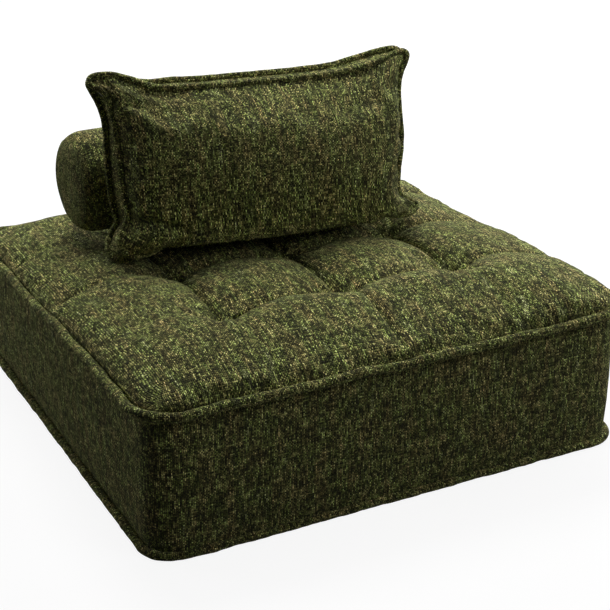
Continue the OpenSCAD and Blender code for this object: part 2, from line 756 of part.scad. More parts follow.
lower_rail_front();
lower_rail_back();
lower_rail_left();
lower_rail_right();
upper_rail_front();
upper_rail_back();
upper_rail_left();
upper_rail_right();
corner_posts();
middle_struts();
floor_stretcher();
frame_screws();
webbing_left_right();
webbing_front_back();
webbing_felt();
firm_foam();
soft_foam();
side_foam_front();
side_foam_back();
side_foam_left();
side_foam_right();
seat_cover_top();
seat_cover_sides();
seat_welt_top();
seat_welt_bottom();
tuft_ties();
tuft_anchor_bars();
dust_cover();
glides();
glide_screws();
pillow_filling();
pillow_front_panel();
pillow_back_panel();
pillow_gusset();
pillow_front_welt();
pillow_back_welt();
pillow_zip_tape();
pillow_zip_chain();
pillow_zip_slider();
pillow_zip_pull();
bolster_foam();
bolster_wrap();
bolster_end_left();
bolster_end_right();
bolster_zip_tape();
bolster_zip_chain();
bolster_zip_slider();
bolster_zip_pull();
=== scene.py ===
from math import cos, pi, radians, sin

import bpy
import numpy as np
from mathutils import Matrix, Vector, noise


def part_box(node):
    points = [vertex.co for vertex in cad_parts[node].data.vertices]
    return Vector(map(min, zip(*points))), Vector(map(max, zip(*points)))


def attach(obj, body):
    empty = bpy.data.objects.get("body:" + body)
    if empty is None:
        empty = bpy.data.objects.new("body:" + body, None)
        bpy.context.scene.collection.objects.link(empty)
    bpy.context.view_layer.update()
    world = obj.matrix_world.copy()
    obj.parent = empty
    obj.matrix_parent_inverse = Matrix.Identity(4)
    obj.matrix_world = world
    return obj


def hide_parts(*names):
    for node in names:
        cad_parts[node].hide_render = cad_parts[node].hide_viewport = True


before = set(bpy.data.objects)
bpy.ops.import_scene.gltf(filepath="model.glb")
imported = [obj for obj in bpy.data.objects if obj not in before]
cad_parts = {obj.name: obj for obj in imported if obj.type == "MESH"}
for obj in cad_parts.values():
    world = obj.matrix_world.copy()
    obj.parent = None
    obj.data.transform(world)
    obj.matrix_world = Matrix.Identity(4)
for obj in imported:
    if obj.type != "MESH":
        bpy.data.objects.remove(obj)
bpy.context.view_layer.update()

# Timber frame of the seat. Lower and upper rails, corner posts, struts and the floor
# stretcher are planed spruce, butted at the posts and screwed through the rails. Their
# arrises are eased, so each is a softened copy of its solid.


def put(tree, kind, wires=None, **settings):
    """Adds a shader node, wires its inputs and returns its first output."""
    made = tree.nodes.new("ShaderNode" + kind)
    for key, value in settings.items():
        setattr(made, key, value)
    for socket, value in (wires or {}).items():
        if isinstance(value, bpy.types.NodeSocket):
            tree.links.new(value, made.inputs[socket])
        else:
            made.inputs[socket].default_value = value
    return made.outputs[0] if made.outputs else made


def calc(tree, operation, *values):
    """One step of arithmetic between sockets and numbers."""
    return put(tree, "Math", dict(enumerate(values)), operation=operation)


def times(tree, one, other):
    return calc(tree, "MULTIPLY", one, other)


def vector(tree, operation, *values, **more):
    """One step of arithmetic between vectors."""
    return put(tree, "VectorMath", {**dict(enumerate(values)), **more}, operation=operation)


def cloudy(tree, place, scale, detail, **more):
    """A smooth random grey over a place."""
    return put(tree, "TexNoise", {"Vector": place, "Scale": scale, "Detail": detail, **more})


def own_place(tree):
    return put(tree, "TexCoord").node.outputs["Object"]


def shades(tree, share, steps):
    """Colours along a ramp: pairs of a place and a colour."""
    ramp = put(tree, "ValToRGB", {"Fac": share}).node
    marks = ramp.color_ramp.elements
    while len(marks) < len(steps):
        marks.new(1)
    for mark, (place, colour) in zip(marks, steps):
        mark.position, mark.color = place, (*colour, 1)
    return ramp.outputs["Color"]


def spread(tree, share, low, high, to_low=0.0, to_high=1.0):
    """A value stretched from one span to another, held at its ends."""
    return put(tree, "MapRange", {"Value": share, "From Min": low, "From Max": high,
                                  "To Min": to_low, "To Max": to_high})


def new_group(name, takes):
    """An empty shader node group that takes the named inputs and gives colour and height."""
    group = bpy.data.node_groups.new(name, "ShaderNodeTree")
    for label, kind in takes.items():
        group.interface.new_socket(label, in_out="INPUT", socket_type="NodeSocket" + kind)
    for label, kind in (("Color", "Color"), ("Height", "Float")):
        group.interface.new_socket(label, in_out="OUTPUT", socket_type="NodeSocket" + kind)
    return group, group.nodes.new("NodeGroupInput").outputs, group.nodes.new("NodeGroupOutput")


def new_finish(name, **sockets):
    """An empty material with its shader, whose own sockets take the given numbers."""
    finish = bpy.data.materials.new(name)
    finish.use_nodes = True
    shader = finish.node_tree.nodes["Principled BSDF"]
    for label, value in sockets.items():
        shader.inputs[label.replace("_", " ")].default_value = value
    return finish, finish.node_tree, shader


def dye(tree, shader, colour, height, distance):
    """Gives a finish its colour and raises it by a height, up to a distance in metres."""
    bump = put(tree, "Bump", {"Height": height, "Distance": distance, "Strength": 1.0})
    tree.links.new(colour, shader.inputs["Base Color"])
    tree.links.new(bump, shader.inputs["Normal"])


def wood_grain():
    """Spruce grain that runs along X: year lines, pores and a few darker streaks."""
    group, takes, gives = new_group("spruce_grain", {"Along": "Vector"})
    stretched = vector(group, "MULTIPLY", takes["Along"], (1.2, 26, 26))
    lines = put(group, "TexWave", {"Vector": stretched, "Scale": 0.9, "Distortion": 5.0,
                                   "Detail": 3.0, "Detail Scale": 0.7}, bands_direction="Y")
    pores = cloudy(group, vector(group, "MULTIPLY", takes["Along"], (30, 900, 900)), 1.0, 3.0)
    streaks = cloudy(group, stretched, 0.35, 2.0)
    tone = calc(group, "ADD", times(group, lines.node.outputs["Fac"], 0.5),
                calc(group, "ADD", times(group, pores, 0.25), times(group, streaks, 0.35)))
    colour = shades(group, tone, [(0.2, (0.60, 0.41, 0.22)), (0.55, (0.72, 0.53, 0.32)),
                                  (0.9, (0.80, 0.64, 0.42))])
    group.links.new(colour, gives.inputs["Color"])
    group.links.new(tone, gives.inputs["Height"])
    return group


spruce_grain = wood_grain()


def spruce(name, turn):
    """Planed spruce whose grain runs along one way of the piece."""
    finish, tree, shader = new_finish(name, Roughness=0.62, Specular_IOR_Level=0.35)
    turned = put(tree, "Mapping", {"Vector": own_place(tree), "Rotation": turn})
    grain = put(tree, "Group", {"Along": turned}, node_tree=spruce_grain)
    dye(tree, shader, grain, grain.node.outputs["Height"], 0.0004)
    return finish


spruce_along_x = spruce("spruce_along_x", (0, 0, 0))
spruce_along_y = spruce("spruce_along_y", (0, 0, radians(90)))
spruce_upright = spruce("spruce_upright", (0, radians(90), 0))


def let_go():
    """Nothing selected, and the object mode."""
    if bpy.context.object and bpy.context.object.mode != "OBJECT":
        bpy.ops.object.mode_set(mode="OBJECT")
    bpy.ops.object.select_all(action="DESELECT")


def take(piece):
    """Selects one piece alone and makes it active."""
    let_go()
    piece.select_set(True)
    bpy.context.view_layer.objects.active = piece


def open_mesh(piece):
    """The whole mesh of a piece selected, in edit mode."""
    take(piece)
    bpy.ops.object.mode_set(mode="EDIT")
    bpy.ops.mesh.select_all(action="SELECT")


def apply_all(piece):
    take(piece)
    for modifier in list(piece.modifiers):
        bpy.ops.object.modifier_apply(modifier=modifier.name)


def fit(piece, name, body, slot, finish, *nodes):
    """Names a finished piece, gives it its finish and puts it on its body for its nodes."""
    piece.name = piece.data.name = name
    piece.data.materials.clear()
    piece.data.materials.append(finish)
    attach(piece, body)
    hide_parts(*nodes)
    return piece


def eased(node, ease, steps=2):
    """A merged copy of a solid whose edges are eased by a small round."""
    piece = bpy.data.objects.new(node + "_eased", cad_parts[node].data.copy())
    bpy.context.scene.collection.objects.link(piece)
    open_mesh(piece)
    bpy.ops.mesh.remove_doubles(threshold=0.00001)
    bpy.ops.mesh.dissolve_limited(angle_limit=radians(1))
    bpy.ops.mesh.customdata_custom_splitnormals_clear()
    bpy.ops.object.mode_set(mode="OBJECT")
    soften = piece.modifiers.new("ease", "BEVEL")
    soften.width, soften.segments, soften.limit_method = ease, steps, "ANGLE"
    soften.angle_limit, soften.harden_normals = radians(40), False
    apply_all(piece)
    bpy.ops.object.shade_smooth_by_angle(angle=radians(35))
    return piece


arris = 0.0015
for level in ("lower", "upper"):
    for side, wood in (("front", spruce_along_x), ("back", spruce_along_x),
                       ("left", spruce_along_y), ("right", spruce_along_y)):
        node = f"{level}_rail_{side}"
        fit(eased(node, arris), f"{side}_{level}_rail", "seat_module", "timber", wood, node)
for node, wood in (("corner_posts", spruce_upright), ("middle_struts", spruce_upright),
                   ("floor_stretcher", spruce_along_y)):
    fit(eased(node, arris), node.split("_")[1], "seat_module", "timber", wood, node)

# Screws of the frame and of the glides. Zinc-plated steel, driven home through the rails
# and up through the glides, so only their heads could ever be seen.


def plated_steel(name, tone, rough):
    """Bright plated metal with faint rubbed patches."""
    finish, tree, shader = new_finish(name, Metallic=1.0)
    cloud = cloudy(tree, own_place(tree), 400.0, 4.0)
    dye(tree, shader, shades(tree, cloud, [(0.3, [0.8 * c for c in tone]), (0.7, tone)]),
        cloud, 0.00005)
    tree.links.new(spread(tree, cloud, 0.3, 0.7, rough - 0.08, rough + 0.1),
                   shader.inputs["Roughness"])
    return finish


zinc = plated_steel("zinc_plated_steel", (0.62, 0.63, 0.62), 0.34)
for node in ("frame_screws", "glide_screws"):
    fit(eased(node, 0.0006), node.replace("screws", "screw_set"), "seat_module", "steel",
        zinc, node)

# Webbing, felt and foam. Woven elastic straps cross over and under each other on the
# upper rails, a needled felt lies on them, and cut foam blocks are glued up on top and
# round the sides.


def unit(a):
    """Values held between 0 and 1."""
    return np.clip(a, 0, 1)


def points_of(piece):
    flat = np.empty(3 * len(piece.data.vertices))
    piece.data.vertices.foreach_get("co", flat)
    return flat.reshape(-1, 3)


def move_points(piece, points):
    piece.data.vertices.foreach_set("co", np.asarray(points, float).ravel())
    piece.data.update()


def lay_cloth(across, along, width, length):
    """A flat cloth as a grid. Gives the piece and each point's place on it, from 0 to 1 both
    ways. Its cloth map is in metres, so the weave keeps its size however it is laid."""
    let_go()
    bpy.ops.mesh.primitive_grid_add(x_subdivisions=across, y_subdivisions=along, size=1)
    piece = bpy.context.object
    share = points_of(piece)[:, :2] + 0.5
    corners = np.empty(len(piece.data.loops), int)
    piece.data.loops.foreach_get("vertex_index", corners)
    while piece.data.uv_layers:
        piece.data.uv_layers.remove(piece.data.uv_layers[0])
    cloth_map = piece.data.uv_layers.new(name="cloth")
    cloth_map.data.foreach_set("uv", (share[corners] * (width, length)).ravel())
    return piece, share


def close_seams(piece, gap=0.00002):
    """Merges what meets, turns the faces outwards and shades the piece smooth."""
    open_mesh(piece)
    bpy.ops.mesh.remove_doubles(threshold=gap)
    bpy.ops.mesh.normals_make_consistent(inside=False)
    bpy.ops.object.mode_set(mode="OBJECT")
    bpy.ops.object.shade_smooth()
    return piece


def turn_over(piece):
    open_mesh(piece)
    bpy.ops.mesh.flip_normals()
    bpy.ops.object.mode_set(mode="OBJECT")


def thicken(piece, thickness):
    """Gives a cloth its thickness, on the side its faces point away from."""
    wall = piece.modifiers.new("wall", "SOLIDIFY")
    wall.thickness, wall.offset = thickness, -1
    apply_all(piece)
    bpy.ops.object.shade_smooth()
    return piece


def joined(pieces):
    """Several loose pieces as one."""
    let_go()
    for piece in pieces:
        piece.select_set(True)
    bpy.context.view_layer.objects.active = pieces[0]
    bpy.ops.object.join()
    return bpy.context.object


def copy_of(piece, points):
    """A copy with its own mesh, its points put elsewhere."""
    other = piece.copy()
    other.data = piece.data.copy()
    bpy.context.scene.collection.objects.link(other)
    move_points(other, points)
    return other


def cloth_place(tree):
    """The piece's own cloth map, in metres."""
    return put(tree, "UVMap", uv_map="cloth")


def ribbon(name, low, high, stripe, pitch=0.0016):
    """Woven ribbon such as webbing or zip tape: fine herringbone ribs and one woven line."""
    finish, tree, shader = new_finish(name, Roughness=0.85, Specular_IOR_Level=0.25)
    place = put(tree, "SeparateXYZ", {"Vector": cloth_place(tree)}).node.outputs
    slant = calc(tree, "PINGPONG", place["Y"], 4 * pitch)
    turns = 2 * pi / pitch
    ribs = calc(tree, "SINE", times(tree, calc(tree, "ADD", place["X"], slant), turns))
    cross = calc(tree, "SINE", times(tree, place["Y"], turns))
    weave = calc(tree, "MULTIPLY_ADD", cross, 0.4, ribs)
    colour = shades(tree, spread(tree, weave, -1.2, 1.2), [(0.1, low), (0.9, high)])
    off = calc(tree, "ABSOLUTE", calc(tree, "SUBTRACT", place["Y"], stripe))
    line = calc(tree, "LESS_THAN", off, 0.0012)
    mixed = put(tree, "Mix", {"Factor": line, 6: colour, 7: (*[0.45 * c for c in high], 1)},
                data_type="RGBA").node
    dye(tree, shader, mixed.outputs[2], weave, 0.0003)
    return finish


strap_cloth = ribbon("elastic_webbing", (0.30, 0.22, 0.12), (0.56, 0.45, 0.28), 0.015)
frame_half = 0.4542
deck_z = 0.180
strap_t = 0.0016
strap_width = 0.060
strap_pitch = 0.1225
strap_fold = 0.025


def lay_straps(name, node, runs_x, first_up):
    """Six straps side by side, each passing over and under the ones that cross it, their ends
    folded back on the rails."""
    strap, share = lay_cloth(190, 4, 2 * (frame_half + strap_fold), strap_width)
    run = (share[:, 0] * 2 - 1) * (frame_half + strap_fold)
    beyond = np.abs(run) - frame_half
    along = np.sign(run) * (frame_half - np.abs(beyond))
    on_rail = unit((beyond + strap_fold + 0.02) / 0.02)
    laid = []
    for number in range(6):
        side = (number - 2.5) * strap_pitch + (share[:, 1] - 0.5) * strap_width
        wave = np.cos(pi * (along / strap_pitch + 2.5 + number + first_up))
        rise = 0.5 * (1 + wave) * strap_t * (1 - on_rail)
        if runs_x:
            z = deck_z + rise + np.where(beyond > 0, 0.003, 0)
            laid.append(copy_of(strap, np.column_stack([along, side, z])))
        else:
            z = deck_z + 0.0014 + rise + strap_t * on_rail - np.where(beyond > 0, 0.003, 0)
            laid.append(copy_of(strap, np.column_stack([side, along, z])))
            turn_over(laid[-1])
    bpy.data.objects.remove(strap)
    straps = joined(laid)
    wall = straps.modifiers.new("wall", "SOLIDIFY")
    wall.thickness, wall.offset = 0.0014, 1 if runs_x else -1
    apply_all(straps)
    bpy.ops.object.shade_smooth_by_angle(angle=radians(40))
    return fit(straps, name, "seat_module", "webbing", strap_cloth, node)


lay_straps("cross_straps", "webbing_left_right", True, 0)
lay_straps("long_straps", "webbing_front_back", False, 1)


def speckled(name, low, high, size, height):
    """A dull finish made of fine grains of two tones, such as felt or foam."""
    finish, tree, shader = new_finish(name, Roughness=0.95, Specular_IOR_Level=0.15)
    place = own_place(tree)
    grains = cloudy(tree, place, 1 / size, 4.0, Roughness=0.7)
    cells = put(tree, "TexVoronoi", {"Vector": place, "Scale": 0.6 / size})
    mixed = calc(tree, "ADD", times(tree, grains, 0.7), times(tree, cells, 0.4))
    dye(tree, shader, shades(tree, mixed, [(0.3, low), (0.75, high)]), mixed, height)
    return finish


felt = speckled("needled_felt", (0.035, 0.036, 0.04), (0.16, 0.16, 0.17), 0.0012, 0.0008)
foam = speckled("cut_foam", (0.66, 0.60, 0.42), (0.84, 0.80, 0.64), 0.0016, 0.0006)
wadding = speckled("fibre_wadding", (0.72, 0.72, 0.70), (0.92, 0.92, 0.90), 0.004, 0.003)

felt_pad = fit(eased("webbing_felt", 0.0008), "webbing_felt_pad", "seat_module", "felt", felt,
               "webbing_felt")
for node in ("firm_foam", "side_foam_front", "side_foam_back", "side_foam_left",
             "side_foam_right"):
    block = fit(eased(node, 0.003), node + "_block", "seat_module", "foam", foam, node)

# Glides and the bars under the webbing. Moulded nylon glides carry the seat, and a short
# nylon bar under each pair of straps takes the pull of a tuft tie.
nylon = speckled("moulded_nylon", (0.020, 0.020, 0.021), (0.042, 0.042, 0.044), 0.0009, 0.00012)
fit(eased("glides", 0.0012, 3), "glide_set", "seat_module", "nylon", nylon, "glides")
fit(eased("tuft_anchor_bars", 0.001), "tie_bars", "seat_module", "nylon", nylon,
    "tuft_anchor_bars")

# Fabric of the cover. A heavy mottled chenille in olive, moss and rust: fat slubbed yarns
# in an open plain weave with fine pale filaments, and painted shade makes the gaps between the
# yarns near-black.
yarn_pitch = 0.0031


def chenille_group():
    """The weave over a cloth map: one unit of its own place is one yarn."""
    group, takes, gives = new_group(
        "chenille_weave", {"Cloth": "Vector", "Shift": "Float", "Streak": "Float"})

    def step(operation, *values):
        return calc(group, operation, *values)

    def by(one, other):
        return times(group, one, other)

    def at(a, b, c=0.0):
        return put(group, "CombineXYZ", {"X": a, "Y": b, "Z": c})

    moved = vector(group, "ADD", takes["Cloth"], at(takes["Shift"], takes["Shift"]))
    laid = vector(group, "SCALE", moved, Scale=1 / yarn_pitch)
    sway = cloudy(group, laid, 0.14, 1.5).node.outputs["Color"]
    swayed = vector(group, "MULTIPLY_ADD", vector(group, "SUBTRACT", sway, (0.5, 0.5, 0.5)),
                    (1.0, 1.0, 0), laid)
    split = put(group, "SeparateXYZ", {"Vector": swayed}).node.outputs
    x, y = split["X"], split["Y"]
    column, row = step("ROUND", x), step("ROUND", y)

    def yarn(across, own, along, sign, shift):
        """Height of one set of yarns, which pass over and under the other set, and how dark
        or light each run of a yarn is."""
        slub = cloudy(group, at(by(own, 7.31), by(along, 0.4), shift), 1.0, 1.0)
        half = spread(group, slub, 0.3, 0.7, 0.32, 0.54)
        off = step("DIVIDE", step("SUBTRACT", across, own), half)
        body = step("MAXIMUM", step("SUBTRACT", 1.0, by(off, off)), -0.4)
        wave = step("COSINE", by(step("ADD", along, own), pi))
        long_run = cloudy(group, at(by(own, 3.7), by(along, 0.16), shift + 3), 1.0, 2.0,
                          Roughness=0.6)
        return (step("MULTIPLY_ADD", wave, 0.36 * sign, body),
                spread(group, long_run, 0.32, 0.68))

    warp, warp_tone = yarn(x, column, y, 1, 0.0)
    weft, weft_tone = yarn(y, row, x, -1, 31.0)
    top = step("MAXIMUM", warp, weft)
    is_warp = step("GREATER_THAN", warp, weft)
    is_weft = step("SUBTRACT", 1.0, is_warp)
    share = step("MULTIPLY_ADD", is_warp, 0.36, 0.40)
    run = step("ADD", by(share, warp_tone), by(step("SUBTRACT", 1.0, share), weft_tone))

    # Each float of a yarn has a tone of its own, each yarn drifts slowly, and so does the cloth.
    float_tone = put(group, "TexWhiteNoise", {"Vector": at(column, row, is_warp)})
    zone = cloudy(group, swayed, 0.10, 2.0)
    streak = takes["Streak"]
    own = step("ADD", by(run, streak), by(float_tone, step("SUBTRACT", 1.0, streak)))
    tone = step("ADD", step("MULTIPLY_ADD", own, 1.02, -0.02),
                by(spread(group, zone, 0.3, 0.7), 0.08))
    colour = shades(group, step("MULTIPLY_ADD", is_weft, -0.13, tone), [
        (0.14, (0.009, 0.009, 0.005)), (0.33, (0.034, 0.036, 0.015)), (0.50, (0.145, 0.151, 0.056)),
        (0.66, (0.42, 0.425, 0.165)), (0.86, (0.92, 0.90, 0.43))])

    # Hues run along the yarns, and each yarn has a hue of its own.
    cloth_hue = cloudy(group, at(by(x, 0.12), by(y, 0.04), 77.0), 1.0, 3.0, Roughness=0.7)
    yarn_hue = put(group, "TexWhiteNoise", {
        "Vector": at(by(is_warp, column), by(is_weft, row), 5.0)})
    hue = step("ADD", by(spread(group, cloth_hue, 0.3, 0.7), 0.7), by(yarn_hue, 0.3))
    tint = shades(group, hue, [
        (0.16, (1.16, 0.94, 0.86)), (0.34, (1.07, 0.97, 0.87)), (0.50, (1.01, 1.01, 0.85)),
        (0.66, (0.88, 1.07, 0.68)), (0.80, (0.95, 0.99, 1.04))])

    # Painted shade darkens the yarns down into the gaps and a painted highlight lightens their
    # crowns; the fibres vary their tone at random, and pale filaments lie over them.
    fibre = cloudy(group, at(by(x, 2.4), by(y, 1.6), is_warp), 1.0, 1.0)
    hair = cloudy(group, at(by(x, 2.3), by(y, 0.5), is_warp), 1.0, 1.0)
    hair = step("ABSOLUTE", step("SUBTRACT", hair, 0.56))
    # lit: painted shade and painted highlight from yarn height, times random fibre tone, plus pale
    # filaments
    lit = step("ADD", by(spread(group, fibre, 0.36, 0.64, 0.20, 1.80),
                         spread(group, top, 0.30, 1.20, 0.0, 1.55)),
               spread(group, hair, 0.0, 0.022, 0.55, 0.0))
    dyed = vector(group, "MULTIPLY", colour, tint)
    group.links.new(vector(group, "SCALE", dyed, Scale=lit), gives.inputs["Color"])
    group.links.new(step("MULTIPLY_ADD", fibre, 0.4, top), gives.inputs["Height"])
    return group


chenille_weave = chenille_group()


def chenille(name, shift, streak=0.58):
    """The cover fabric on one piece, so that no two pieces show the same yarns."""
    finish, tree, shader = new_finish(
        name, Roughness=0.94, Specular_IOR_Level=0.05, Sheen_Weight=0.20, Sheen_Roughness=0.5,
        Sheen_Tint=(0.80, 0.80, 0.52, 1))
    weave = put(tree, "Group", {"Cloth": cloth_place(tree), "Shift": shift, "Streak": streak},
                node_tree=chenille_weave).node.outputs
    dye(tree, shader, weave["Color"], weave["Height"], 0.0016)
    return finish


def settle(piece, held, pressure, cap, slack):
    """Lets a piece find its folds as cloth. Held points, from 0 to 1, stay where they are, and
    no point moves further than the cap."""
    start = points_of(piece)
    group = piece.vertex_groups.new(name="held")
    for place, weight in enumerate(held):
        if weight > 0:
            group.add([place], float(weight), "REPLACE")
    take(piece)
    cloth = piece.modifiers.new("cloth", "CLOTH")
    rules = cloth.settings
    rules.vertex_group_mass = "held"
    rules.use_pressure, rules.uniform_pressure_force = True, pressure
    rules.effector_weights.gravity = 0
    rules.shrink_min = -slack
    rules.bending_stiffness = 1.5
    rules.quality = 5
    rules.mass = 0.35
    cloth.collision_settings.use_collision = False
    last_frame = 20
    for step in range(1, last_frame + 1):
        bpy.context.scene.frame_set(step)
    moved = piece.evaluated_get(bpy.context.evaluated_depsgraph_get()).to_mesh()
    end = np.empty(3 * len(moved.vertices))
    moved.vertices.foreach_get("co", end)
    piece.modifiers.remove(cloth)
    bpy.context.scene.frame_set(1)
    piece.vertex_groups.clear()
    way = end.reshape(-1, 3) - start
    far = np.linalg.norm(way, axis=1, keepdims=True)
    move_points(piece, start + way * np.minimum(1, cap / np.maximum(far, 1e-9)))


def drift(points, size, seed=0.0):
    """Smooth random numbers, about -1 to 1, at points: bumps of the given size in metres."""
    return np.array([noise.noise(Vector((x / size + seed, y / size - seed, z / size + 2 * seed)))
                     for x, y, z in points])


# Top panel of the seat cover. One square of chenille on a fibre backing, pulled down by
# nine ties into deep pockets, with puckers round each and a rolled-down edge that is sewn
# to the top welt. The bolster presses it flat, and its seam hangs lower towards the back.
top_half = 0.4923
corner_c = 0.4303
seam_z = 0.283
crown = 0.069
tuft_pitch = 0.245
tufts = [(a, b) for a in (-tuft_pitch, 0.0, tuft_pitch) for b in (-tuft_pitch, 0.0, tuft_pitch)]
cover_t = 0.003
bolster_at = Vector((0, 0.245231, 0.442542))
bolster_r = 0.104
bolster_half = 0.3675


def bell(a, width):
    """One at 0, and fading both ways over a width."""
    return np.exp(-(a / width) ** 2)


def edge_rise(a, reach=0.165, power=0.65):
    near = unit((top_half - np.abs(a)) / reach)
    return (1 - (1 - near) ** 2) ** power


def furrow(a):
    """How deep in the furrow between two rows of ties a place lies, from 0 to 1."""
    outer = 1 - unit((np.abs(a) - tuft_pitch) / 0.110)
    inner = np.abs(1 - 2 * ((a / tuft_pitch) % 1))
    return 1 - np.sqrt(1 - np.where(np.abs(a) > tuft_pitch, outer, inner) ** 2)


def fading(a):
    """Furrows run full between the ties and fade towards the edge of the seat."""
    return 1 - np.where(a > 0, 0.45, 0.8) * unit((np.abs(a) - tuft_pitch) / 0.09) ** 0.8


def droop(x, y):
    """How much lower the edge of the seat hangs, which grows towards its back."""
    edge = unit((np.maximum(np.abs(x), np.abs(y)) - 0.41) / 0.07)
    back = unit((y + 0.16) / 0.26)
    return 0.013 * edge * back * back * (3 - 2 * back)


def top_height(a, b):
    """Height of the tufted top over a place of its flat square."""
    dimple, pucker = np.zeros_like(a), np.zeros_like(a)
    for number, (ta, tb) in enumerate(tufts):
        r, turn = np.hypot(a - ta, b - tb), np.arctan2(b - tb, a - ta)
        dimple = np.maximum(dimple, np.exp(-r / 0.034))
        folds = np.sin(7 * turn + 2.3 * number) + 0.6 * np.sin(11 * turn + 1.1 * number)
        pucker += 0.0026 * folds * bell(r - 0.034, 0.022)
    valley = 1 - (1 - furrow(a) * fading(b)) * (1 - furrow(b) * fading(a))
    sunk = (0.025 * unit((b + 0.25) / 0.45)
            + 0.008 * unit((np.abs(a) - 0.30) / 0.1))
    mid = unit((0.38 - np.abs(a)) / 0.14)
    rise = edge_rise(b, np.where(b > 0, 0.190, 0.150 + 0.035 * mid),
                     np.where(b > 0, 0.90, 0.62 + 0.33 * mid))
    rise += 0.09 * mid * bell(b + 0.315, 0.05)
    z = seam_z - droop(a, b) + edge_rise(a) * rise * (
        crown + 0.001 - 0.037 * valley - 0.030 * dimple + pucker - sunk * (1 - 0.6 * dimple))
    under = bolster_r ** 2 - (b - bolster_at.y) ** 2
    roll = bolster_at.z - np.sqrt(np.maximum(under, 0)) - 0.0006
    beside = unit((np.abs(a) - bolster_half + 0.035) / 0.05) * 0.05
    return np.minimum(z, np.where(under > 0, roll + beside, 1))


def round_corner(flat):
    """Moves places of the flat square in where its corners are round, and rolls its edge out
    over the seam."""
    past = np.abs(flat) - corner_c
    inside = past.min(axis=1, keepdims=True) <= 0
    far = past.max(axis=1, keepdims=True)
    reach = np.linalg.norm(past, axis=1, keepdims=True)
    straight_out = np.column_stack([past[:, 0] >= past[:, 1], past[:, 0] < past[:, 1]])
    out = np.where(inside, straight_out, past / reach)
    near = top_half - corner_c - far
    roll = 0.0105 * bell(near - 0.022, 0.018) - 0.004 * np.exp(-near / 0.003)
    return np.sign(flat) * (corner_c + np.where(inside, past, out * far) + out * roll)


top_steps = 200
seat_top, share_of_top = lay_cloth(top_steps, top_steps, 2 * top_half, 2 * top_half)
flat = (share_of_top - 0.5) * 2 * top_half
a, b = flat.T
x, y = round_corner(flat).T
points = np.column_stack([x, y, top_height(a, b)])
near = top_half - np.maximum(np.abs(a), np.abs(b))
free = np.maximum(np.abs(y - bolster_at.y) > 0.09, np.abs(x) > 0.40)
points[:, 2] += edge_rise(a) * edge_rise(b) * free * (
    0.0030 * drift(points, 0.09, 3) + 0.005 * np.exp(-near / 0.05) * drift(points, 0.045, 8)
    + 0.0014 * drift(points, 0.022, 14))
move_points(seat_top, points)
gap = np.min([np.hypot(a - ta, b - tb) for ta, tb in tufts], axis=0)
held = unit(1 - (gap - 0.006) / 0.008)
held[(near < 0.004) | (free < 1)] = 1
settle(seat_top, held, 2.0, 0.004, slack=0.03)
top_skin = points_of(seat_top)
thicken(seat_top, cover_t)
fit(seat_top, "seat_top_panel", "seat_module", "cover_fabric",
    chenille("top_chenille", 0.0, streak=0.62), "seat_cover_top")

# Soft foam under the top panel, cut flat below and drawn in by the ties above, so it
# follows the panel from just beneath.
foam_below = 0.2502
cushion, share = lay_cloth(top_steps, top_steps, 1, 1)
below = top_skin.copy()
wide = np.abs(below[:, :2]).max(axis=1, keepdims=True)
below[:, :2] *= 1 - 0.013 * unit((wide - 0.43) / 0.05) / top_half
below[:, 2] = np.maximum(below[:, 2] - cover_t - 0.0012, 0.2515)
move_points(cushion, below)
open_mesh(cushion)
bpy.ops.mesh.extrude_region_move(TRANSFORM_OT_translate={"value": (0, 0, 0.001)})
bpy.ops.object.mode_set(mode="OBJECT")
points = points_of(cushion)
chosen = np.empty(len(cushion.data.vertices), bool)
cushion.data.vertices.foreach_get("select", chosen)
points[:, 2] = np.where(chosen, points[:, 2] - 0.001, foam_below)
move_points(cushion, points)
close_seams(cushion, 0.000001)
fit(cushion, "soft_foam_top", "seat_module", "foam", foam, "soft_foam")

# Tuft ties. Waxed twine, two strands twisted, from a knot under each bar up through felt
# and foam to a stitch at the bottom of each pocket.


def twine_tube(line, radius, around=8):
    """A closed tube along a line of points, its ends drawn together."""
    steps = len(line)
    ahead = np.gradient(line, axis=0)
    ahead /= np.linalg.norm(ahead, axis=1, keepdims=True)
    side = np.cross(ahead, (0.31, 0.83, 0.46))
    side /= np.linalg.norm(side, axis=1, keepdims=True)
    other = np.cross(ahead, side)
    piece, share = lay_cloth(steps - 1, around, steps * 0.001, 2 * pi * radius)
    place = np.rint(share[:, 0] * (steps - 1)).astype(int)
    turn = 2 * pi * share[:, 1]
    close = unit(np.minimum(place, steps - 1 - place) / 2) ** 0.5 * radius
    move_points(piece, line[place] + side[place] * (np.cos(turn) * close)[:, None]
                + other[place] * (np.sin(turn) * close)[:, None])
    return close_seams(piece)


def stitch_height(a, b):
    """Height of a tie's stitch, just above the bottom of its pocket."""
    return float(top_height(np.array([a]), np.array([b]))[0]) + 0.0006


twine_low = 0.172
twine_top = stitch_height(0.0, 0.0)
strands = []
for half in (0, pi):
    rise = twine_low + (twine_top - twine_low) * np.linspace(0, 1, 150)
    wind = half + 2 * pi * (rise - twine_low) / 0.009
    strands.append(twine_tube(np.column_stack([
        0.0007 * np.cos(wind), 0.0007 * np.sin(wind), rise]), 0.0008))
wind = np.linspace(0, 6 * pi, 150)
out = 0.0020 + 0.0006 * np.cos(1.5 * wind)
strands.append(twine_tube(np.column_stack([
    out * np.cos(wind), out * np.sin(wind), 0.1690 + 0.0018 * np.sin(1.5 * wind)]), 0.0009))
stitch = np.linspace(-1, 1, 24)
strands.append(twine_tube(np.column_stack([
    0.006 * stitch, 0 * stitch, twine_top + 0.0008 - 0.003 * stitch ** 4]), 0.0010))
tie = joined(strands)
one = points_of(tie)
ties = []
for ta, tb in tufts:
    lift = stitch_height(ta, tb) - twine_top
    stretch = lift * unit((one[:, 2] - twine_low) / (twine_top - twine_low))
    ties.append(copy_of(tie, one + np.column_stack([
        np.full(len(one), ta), np.full(len(one), tb), stretch])))
bpy.data.objects.remove(tie)
